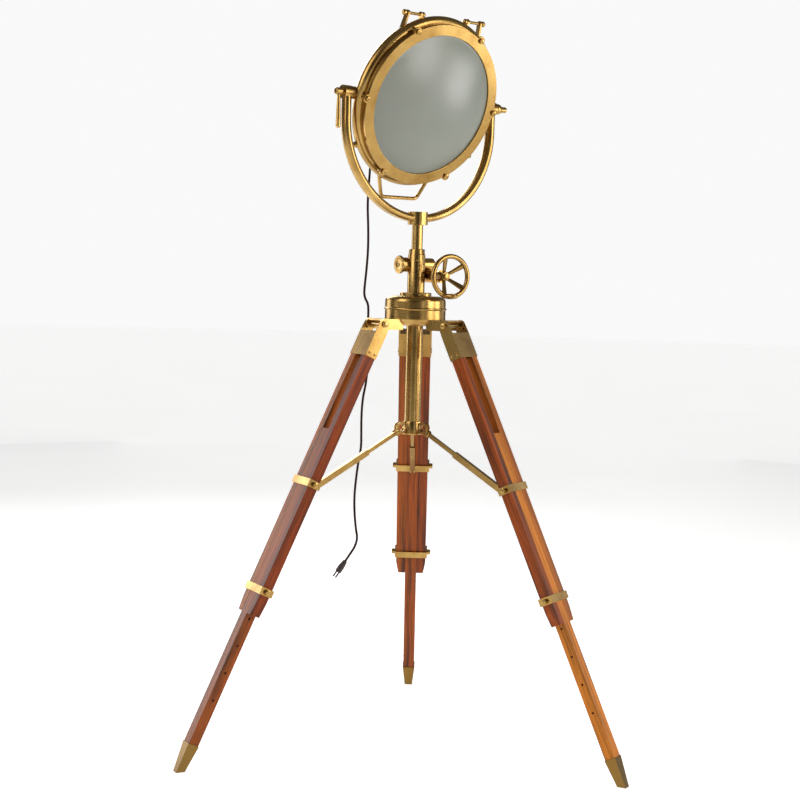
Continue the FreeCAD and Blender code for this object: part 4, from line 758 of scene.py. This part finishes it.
class LAMP_OT_bezel_screws(LampOperator, bpy.types.Operator):
    """Turns the six slotted screws that clamp the bezel"""
    bl_idname = "lamp.bezel_screws"
    bl_label = "Turn the Bezel Screws"

    def execute(self, context):
        head = screw_blank("bezel_screw", self.sizes.bezel_screw, CLAMP_HEAD,
                           self.sizes.slot_width)
        shank = cylinder("shank", SHANK_RADIUS * MM, SHANK_LENGTH * MM,
                         (SINK - SHANK_LENGTH / 2) * MM, 24)
        pick_faces(shank, lambda face: face.normal.z < -0.9)
        bpy.ops.mesh.inset(thickness=0.8 * MM, depth=0.8 * MM)
        set_place(shank)
        blank = joined("bezel_screw", [head, shank])
        places = []
        for index in range(CLAMPS):
            angle = math.radians(360 / CLAMPS * index)
            places.append(LENS @ shift(CLAMP_CIRCLE * math.cos(angle),
                                       CLAMP_CIRCLE * math.sin(angle), BEZEL_FRONT)
                          @ turn(37 * index + 20, "Z"))
        piece = copies("slotted_bezel_screws", blank, places)
        bpy.data.objects.remove(blank)
        finish_piece(piece, bpy.data.materials["head_brass"], "head_body")
        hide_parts("bezel_screws")
        return {"FINISHED"}


class LAMP_OT_leg_screws(LampOperator, bpy.types.Operator):
    """Adds the slotted caps on the band bolts and hinge pins, and the leg cap screws"""
    bl_idname = "lamp.leg_screws"
    bl_label = "Add the Leg Screws"

    def execute(self, context):
        sizes = self.sizes
        for number, leg in enumerate(LEG_AZIMUTH):
            place = leg_place(leg)
            spots = [place @ shift(side * (BOLT_END - SINK), 0, -level)
                     @ turn(90 * side, "Y") @ turn(25 + 40 * number + 30 * side, "Z")
                     for level in BAND_LEVELS for side in (-1, 1)]
            fit_screws(f"{leg}_band_screws",
                       (sizes.band_screw, BAND_HEAD, sizes.slot_width),
                       spots, f"{leg}_leg_brass", f"{leg}_leg")
            spots = [place @ shift(side * (CAP_SIDE - SINK), y, -CAP_SCREW_LEVEL)
                     @ turn(90 * side, "Y") @ turn(50 * y, "Z")
                     for side in (-1, 1) for y in (-CAP_SCREW_APART, CAP_SCREW_APART)]
            fit_screws(f"{leg}_cap_screws",
                       (sizes.cap_screw, CAP_HEAD, 0.6 * sizes.slot_width),
                       spots, f"{leg}_leg_brass", f"{leg}_leg")
        spots = [facing(azimuth) @ shift(side * (PIN_END - SINK), HINGE_RADIUS, HINGE_LEVEL)
                 @ turn(90 * side, "Y") @ turn(azimuth + 40 * side, "Z")
                 for azimuth in LEG_AZIMUTH.values() for side in (-1, 1)]
        fit_screws("hinge_pin_screws",
                   (1.08 * sizes.band_screw, PIN_HEAD, sizes.slot_width),
                   spots, "bracket_brass", "root")
        return {"FINISHED"}


# The column round the lifting gear, in the gear's own place, and the room for the gear.
COLUMN_OUTLINE = [
    (13.6, -67.7), (21.4, -67.7), (21.4, 24.0), (20.9, 25.4), (19.6, 28.6), (19.6, 37.2),
    (18.8, 38.6), (17.4, 38.9), (13.6, 38.9)]
GEAR_ROOM_RADIUS, GEAR_ROOM_START, GEAR_ROOM_LENGTH = 14.4, -38, 96


class LAMP_OT_column_body(LampOperator, bpy.types.Operator):
    """Turns the column with its narrow, chamfered collar"""
    bl_idname = "lamp.column_body"
    bl_label = "Turn the Column"

    def execute(self, context):
        column = spun_piece("chamfered_column", COLUMN_OUTLINE)
        solid_cut(column, bar("gear_room", GEAR_ROOM_RADIUS, GEAR_ROOM_LENGTH,
                              shift(GEAR_ROOM_START, BARREL_BACK, 0) @ turn(90, "Y")))
        settle(column, GEAR)
        soften(column, 30)
        finish_piece(column, bpy.data.materials["column_brass"], "column_body")
        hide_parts("column")
        return {"FINISHED"}


BARREL_CAP_OUTLINE = [
    (0, 36), (22.5, 36), (22.5, 39.0), (22.1, 40.1), (21.1, 40.8), (19.6, 41), (16.0, 41),
    (15.2, 40.5), (14.4, 41), (5.2, 41), (4.2, 40.5), (3.0, 39.4), (1.6, 38.8), (0, 38.6)]
SET_SCREW_SIZE = (3.6 * MM, 2.6 * MM, 0.8 * MM)
SET_SCREW_HEADING, SET_SCREW_OUT, SET_SCREW_LEVEL, SET_SCREW_SLOT = -84, 20.7, 1212, 35


class LAMP_OT_column_fittings(LampOperator, bpy.types.Operator):
    """Turns the dimpled cap of the gear housing and the column's set screw"""
    bl_idname = "lamp.column_fittings"
    bl_label = "Fit the Column"

    def execute(self, context):
        cap = spun_piece("dimpled_barrel_cap", BARREL_CAP_OUTLINE)
        settle(cap, BARREL @ turn(-90, "Y"))
        finish_piece(cap, bpy.data.materials["gear_brass"], "column_body")
        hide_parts("barrel_cap")
        place = (COLUMN @ turn(SET_SCREW_HEADING, "Z")
                 @ shift(SET_SCREW_OUT, 0, SET_SCREW_LEVEL) @ turn(90, "Y")
                 @ turn(SET_SCREW_SLOT, "Z"))
        fit_screws("column_set_screw", SET_SCREW_SIZE, [place], "column_brass",
                   "column_body")
        return {"FINISHED"}


# The handwheel in its own place, where Z runs out along its shaft: the rim and spokes.
RIM_RADIUS, RIM_SECTION, RIM_LEVEL = 49.1, 6.0, 96
SPOKES, SPOKE_START, SPOKE_LEVEL, SPOKE_LENGTH = 5, 7, 69.5, 47.5
SPOKE_SLOPE = math.degrees(math.atan2(27.7, 45))
PIN_HEADING, PIN_OUT = -112, 50.5
PIN_RADIUS, PIN_LENGTH = 2.3, 53.4
# Half the depth and half the width of a spoke at its two ends.
SPOKE_FOOT, SPOKE_TIP = (3.6, 4.0), (3.4, 7.2)
# What sits on the shaft: radius, depth, level, corners and how far its edge is rounded.
HUB = (11, 16, 60.3, 64, 1.6)
BOSS = (8.8, 2, 75.8, 64, 0.8)
NUT = (8.9, 6.2, 76.2, 6, 0.7)


def on_shaft(name, wheel, radius, depth, level, corners, round_off):
    """A bar on the shaft of a wheel at its place."""
    return bar(name, radius, depth, wheel @ shift(0, 0, level), corners, round_off)


class LAMP_OT_handwheel(LampOperator, bpy.types.Operator):
    """Makes the dished handwheel, with tapered spokes and its hexagon nut"""
    bl_idname = "lamp.handwheel"
    bl_label = "Make the Handwheel"

    def execute(self, context):
        start()
        bpy.ops.mesh.primitive_torus_add(major_segments=96, minor_segments=24,
                                         major_radius=RIM_RADIUS * MM,
                                         minor_radius=RIM_SECTION * MM)
        rim = context.object
        soften(rim, 60)
        origin = Matrix.Identity(4)
        parts = [settle(rim, shift(0, 0, RIM_LEVEL)), on_shaft("hub", origin, *HUB),
                 on_shaft("boss", origin, *BOSS)]
        for index in range(SPOKES):
            spoke = bar("spoke", 1, SPOKE_LENGTH, origin)
            for way, end, (thick, width) in ((-1, 0, SPOKE_FOOT),
                                             (1, SPOKE_LENGTH, SPOKE_TIP)):
                pick_faces(spoke, lambda face: face.normal.z * way > 0.9)
                bpy.ops.transform.resize(value=(thick, width, 1),
                                         center_override=(0, 0, end * MM))
            parts.append(settle(spoke, turn(180 - 360 / SPOKES * index, "Z")
                                @ shift(SPOKE_START, 0, SPOKE_LEVEL)
                                @ turn(90 - SPOKE_SLOPE, "Y")))
        parts.append(bar("pin", PIN_RADIUS, PIN_LENGTH,
                         turn(PIN_HEADING, "Z") @ shift(PIN_OUT, 0, RIM_LEVEL), 24))
        wheel = settle(joined("dished_handwheel", parts), HANDWHEEL)
        finish_piece(wheel, bpy.data.materials["wheel_brass"], "handwheel_body")
        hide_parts("handwheel")
        nut = on_shaft("wheel_hexagon_nut", HANDWHEEL, *NUT)
        finish_piece(nut, bpy.data.materials["wheel_brass"], "handwheel_body")
        return {"FINISHED"}


# The grip from its pin's foot, with the bore that the pin stands in.
GRIP_OUTLINE = [
    (2.4, 5.6), (4.4, 5.6), (5.0, 6.4), (5.0, 9.0), (4.5, 10.2), (5.4, 18), (6.1, 30),
    (6.3, 40), (6.0, 50), (5.2, 57), (3.8, 60.8), (1.9, 62.3), (0, 62.6), (0, 54.2),
    (2.4, 54.2)]


class LAMP_OT_crank_handle(LampOperator, bpy.types.Operator):
    """Turns the barrel-shaped grip on the handwheel's pin"""
    bl_idname = "lamp.crank_handle"
    bl_label = "Turn the Crank Handle"

    def execute(self, context):
        grip = spun_piece("turned_crank_handle", GRIP_OUTLINE, 64)
        settle(grip, HANDWHEEL @ turn(PIN_HEADING, "Z") @ shift(PIN_OUT, 0, RIM_LEVEL))
        finish_piece(grip, bpy.data.materials["crank_brass"], "crank_body")
        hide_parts("crank_handle")
        return {"FINISHED"}


GLASS_EDGE, GLASS_RIM = 171.7, 177.0
GLASS_FRONT, GLASS_CROWN, GLASS_WALL = 43.0, 73.0, 4.0


class LAMP_OT_glass(LampOperator, bpy.types.Operator):
    """Blows the domed front glass"""
    bl_idname = "lamp.glass"
    bl_label = "Make the Glass"

    def execute(self, context):
        back = GLASS_FRONT - GLASS_WALL
        outside = dome_line(GLASS_EDGE, GLASS_FRONT, GLASS_CROWN)
        inside = dome_line(GLASS_EDGE, back, GLASS_CROWN - GLASS_WALL)
        glass = spun_piece("domed_glass", [*outside, (GLASS_RIM, GLASS_FRONT),
                                           (GLASS_RIM, back), *reversed(inside)], 160)
        settle(glass, LENS)
        soften(glass, 40)
        finish_piece(glass, bpy.data.materials["frosted_glass"], "head_body")
        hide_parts("lens")
        return {"FINISHED"}


# The plate in a leg's own place: its middle, outward and up, and its three sides.
PLATE_OUT, PLATE_LEVEL = 14.25, -65
PLATE_SIZE = (26.96 * MM, 1.9 * MM, 45.96 * MM)


class LAMP_OT_cap_faces(LampOperator, bpy.types.Operator):
    """Closes the outward face of each leg cap with a plate"""
    bl_idname = "lamp.cap_faces"
    bl_label = "Close the Leg Caps"

    def execute(self, context):
        start()
        bpy.ops.mesh.primitive_cube_add(
            size=1, location=(0, PLATE_OUT * MM, PLATE_LEVEL * MM), scale=PLATE_SIZE)
        plate = context.object
        set_place(plate)
        round_edges(plate, 0.25 * MM, 2)
        soften(plate, 15)
        for leg in LEG_AZIMUTH:
            piece = copies(f"{leg}_cap_plate", plate, [leg_place(leg)])
            finish_piece(piece, bpy.data.materials[f"{leg}_leg_brass"], f"{leg}_leg")
        bpy.data.objects.remove(plate)
        return {"FINISHED"}


# The spreader's collar at its own level on the column, and one round ear with its lobe.
COLLAR_OUTLINE = [(20.55, 781), (24.4, 781), (25.0, 782), (25.0, 785), (23.6, 786.4),
                  (23.6, 811), (22.8, 813.4), (20.55, 814)]
EAR_OUTLINE = [(8.6, -1.5), (14.2, -1.5), (14.8, -0.9), (14.8, 0.9), (14.2, 1.5),
               (8.6, 1.5)]
EAR_SIDE, EAR_OUT, EAR_LEVEL = 5.8, 32.5, 798
LOBE_RADIUS, LOBE_THICK = 7.6, 3.0
LOBE_OUT, LOBE_DROP = 12.5, 13


class LAMP_OT_spreader(LampOperator, bpy.types.Operator):
    """Makes the spreader's collar with its round, open ears"""
    bl_idname = "lamp.spreader"
    bl_label = "Make the Spreader Hub"

    def execute(self, context):
        parts = [settle(spun_piece("collar", COLLAR_OUTLINE), COLUMN)]
        for azimuth in LEG_AZIMUTH.values():
            for side in (-1, 1):
                at = facing(azimuth) @ shift(EAR_SIDE * side, EAR_OUT, EAR_LEVEL)
                ear = spun_piece("ear", EAR_OUTLINE, 48)
                parts.append(settle(ear, at @ turn(90, "Y")))
                lobe = at @ shift(-LOBE_THICK / 2, LOBE_OUT, -LOBE_DROP) @ turn(90, "Y")
                parts.append(bar("lobe", LOBE_RADIUS, LOBE_THICK, lobe, round_off=0.5))
        hub = joined("round_eared_hub", parts)
        finish_piece(hub, bpy.data.materials["column_brass"], "root")
        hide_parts("spreader_hub")
        return {"FINISHED"}


# ---------------------------------------------------------------- the stage

# The photograph's viewpoint in metres and radians, and its lens in millimetres.
EYE = Vector((0.0646, -4.1647, 1.1670))
YAW, PITCH, ROLL = -0.02399, -0.07510, 0.02702
CAMERA_LENS, CAMERA_FILM = 73.06, 36

# The floor, in metres, a hair below the feet.
FLOOR_RADIUS, FLOOR_LEVEL = 30, -0.0005
# Dark cards that the brass mirrors and the camera doesn't see: heading and width in metres.
DARK_CARDS = ((180, 6.4), (130, 5.0), (230, 3.6), (80, 4.4), (280, 4.4), (30, 3.2),
              (330, 3.2))
CARD_AWAY, CARD_LEVEL, CARD_HEIGHT = 7000, 2200, 4.6


def camera_place():
    """The camera's place, which looks along its own -Z."""
    ahead = Vector((math.sin(YAW) * math.cos(PITCH), math.cos(YAW) * math.cos(PITCH),
                    math.sin(PITCH)))
    right = Vector((math.cos(YAW), -math.sin(YAW), 0))
    up = right.cross(ahead)
    across = math.cos(ROLL) * right + math.sin(ROLL) * up
    upright = math.cos(ROLL) * up - math.sin(ROLL) * right
    facing_back = Matrix((across, upright, -ahead)).transposed().to_4x4()
    return Matrix.Translation(EYE) @ facing_back


def studio_world():
    """Soft light from all round: white below, warm grey above."""
    world = bpy.data.worlds.new("studio")
    world.use_nodes = True
    nodes, links = world.node_tree.nodes, world.node_tree.links
    sky = nodes["Background"].inputs
    ahead = nodes.new("ShaderNodeTexCoord")
    split = nodes.new("ShaderNodeSeparateXYZ")
    band = nodes.new("ShaderNodeValToRGB")
    links.new(ahead.outputs["Generated"], split.inputs[0])
    links.new(split.outputs[2], band.inputs["Fac"])
    links.new(band.outputs["Color"], sky["Color"])
    stops = ((0.22, (1.0, 1.0, 1.0, 1)), (0.50, (0.16, 0.155, 0.15, 1)))
    for element, (position, tone) in zip(band.color_ramp.elements, stops):
        element.position = position
        element.color = tone
    sky["Strength"].default_value = 0.95
    return world


def area_light(name, spot, aim, size, watts, tint=(1, 1, 1)):
    """A soft light of a width and height in metres that shines from a spot at an aim."""
    lamp = bpy.data.lights.new(name, "AREA")
    lamp.shape = "RECTANGLE"
    lamp.size, lamp.size_y = size
    lamp.energy = watts
    lamp.color = tint
    item = bpy.data.objects.new(name, lamp)
    bpy.context.scene.collection.objects.link(item)
    item.location = spot
    item.visible_camera = False
    item.rotation_euler = (Vector(aim) - Vector(spot)).to_track_quat("-Z", "Y").to_euler()


class LAMP_OT_stage(LampOperator, bpy.types.Operator):
    """Lays the pale floor and sets the studio lights and the camera"""
    bl_idname = "lamp.stage"
    bl_label = "Set the Stage"

    def execute(self, context):
        scene = context.scene
        options = scene.lamp_stage
        start()
        bpy.ops.mesh.primitive_circle_add(vertices=128, radius=FLOOR_RADIUS,
                                          fill_type="NGON", location=(0, 0, FLOOR_LEVEL))
        floor = context.object
        floor.name = "studio_floor"
        set_place(floor)
        floor.data.materials.append(plain(
            "floor_paint", tuple(options.floor_colour), matt=0.7, scale=1.2, depth=0.0002,
            Emission_Color=(1, 1, 1, 1), Emission_Strength=0.70))
        scene.world = studio_world()
        black = plain("black_card", (0.02, 0.018, 0.016), matt=0.8, scale=2.0, depth=0.0001)
        for number, (heading, wide) in enumerate(DARK_CARDS):
            start()
            bpy.ops.mesh.primitive_plane_add(size=1)
            card = context.object
            card.name = f"dark_card_{number}"
            settle(card, turn(heading, "Z") @ shift(0, CARD_AWAY, CARD_LEVEL)
                   @ turn(90, "X") @ Matrix.Diagonal((wide, CARD_HEIGHT, 1, 1)))
            card.data.materials.append(black)
            card.visible_camera = False
            card.visible_shadow = False
        middle = (0, -0.1, 1.1)
        area_light("key_light", (-3.2, -2.6, 3.0), middle, (2.4, 3.0), options.key_power)
        area_light("fill_light", (3.0, -1.8, 1.9), middle, (1.2, 2.4), options.fill_power,
                   (1.0, 0.97, 0.93))
        area_light("rear_light", (-1.4, 2.8, 2.8), (0, 0, 1.0), (1.8, 1.8), 60)
        area_light("glass_light", (2.60, -0.05, 1.22), (0.1, -0.18, 1.64), (0.9, 0.9), 15)
        area_light("side_light", (-2.8, 1.4, 1.0), (-0.35, -0.35, 0.55), (1.0, 1.9), 16)
        view = bpy.data.cameras.new("photo_view")
        view.lens = CAMERA_LENS
        view.sensor_width = CAMERA_FILM
        view.clip_end = 100
        item = bpy.data.objects.new("photo_view", view)
        scene.collection.objects.link(item)
        item.matrix_world = camera_place()
        scene.camera = item
        scene.view_settings.view_transform = "Standard"
        return {"FINISHED"}


class LAMP_PT_panel(bpy.types.Panel):
    """Lists the lamp's steps with their sizes and colours"""
    bl_idname = "LAMP_PT_panel"
    bl_label = "Spotlight Lamp"
    bl_space_type = "VIEW_3D"
    bl_region_type = "UI"
    bl_category = "Spotlight Lamp"

    def draw(self, context):
        layout = self.layout
        scene = context.scene
        for settings in (scene.lamp_finishes, scene.lamp_sizes, scene.lamp_stage):
            box = layout.box()
            for name in settings.__annotations__:
                box.prop(settings, name)
        for step in STEPS:
            layout.operator(step.bl_idname)


SETTINGS = {"lamp_finishes": LampFinishes, "lamp_sizes": LampSizes, "lamp_stage": LampStage}
STEPS = (LAMP_OT_cord, LAMP_OT_brass, LAMP_OT_wood, LAMP_OT_inside, LAMP_OT_bezel_screws,
         LAMP_OT_leg_screws, LAMP_OT_column_body, LAMP_OT_column_fittings,
         LAMP_OT_handwheel, LAMP_OT_crank_handle, LAMP_OT_glass, LAMP_OT_cap_faces,
         LAMP_OT_spreader, LAMP_OT_stage)


def register():
    for name, group in SETTINGS.items():
        bpy.utils.register_class(group)
        setattr(bpy.types.Scene, name, PointerProperty(type=group))
    for item in (*STEPS, LAMP_PT_panel):
        bpy.utils.register_class(item)


def unregister():
    for item in reversed((*STEPS, LAMP_PT_panel)):
        bpy.utils.unregister_class(item)
    for name, group in SETTINGS.items():
        delattr(bpy.types.Scene, name)
        bpy.utils.unregister_class(group)


def main():
    register()
    bpy.ops.lamp.cord()
    bpy.ops.lamp.brass()
    bpy.ops.lamp.wood()
    bpy.ops.lamp.inside()
    bpy.ops.lamp.bezel_screws()
    bpy.ops.lamp.leg_screws()
    bpy.ops.lamp.column_body()
    bpy.ops.lamp.column_fittings()
    bpy.ops.lamp.handwheel()
    bpy.ops.lamp.crank_handle()
    bpy.ops.lamp.glass()
    bpy.ops.lamp.cap_faces()
    bpy.ops.lamp.spreader()
    bpy.ops.lamp.stage()


if __name__ == "__main__":
    main()
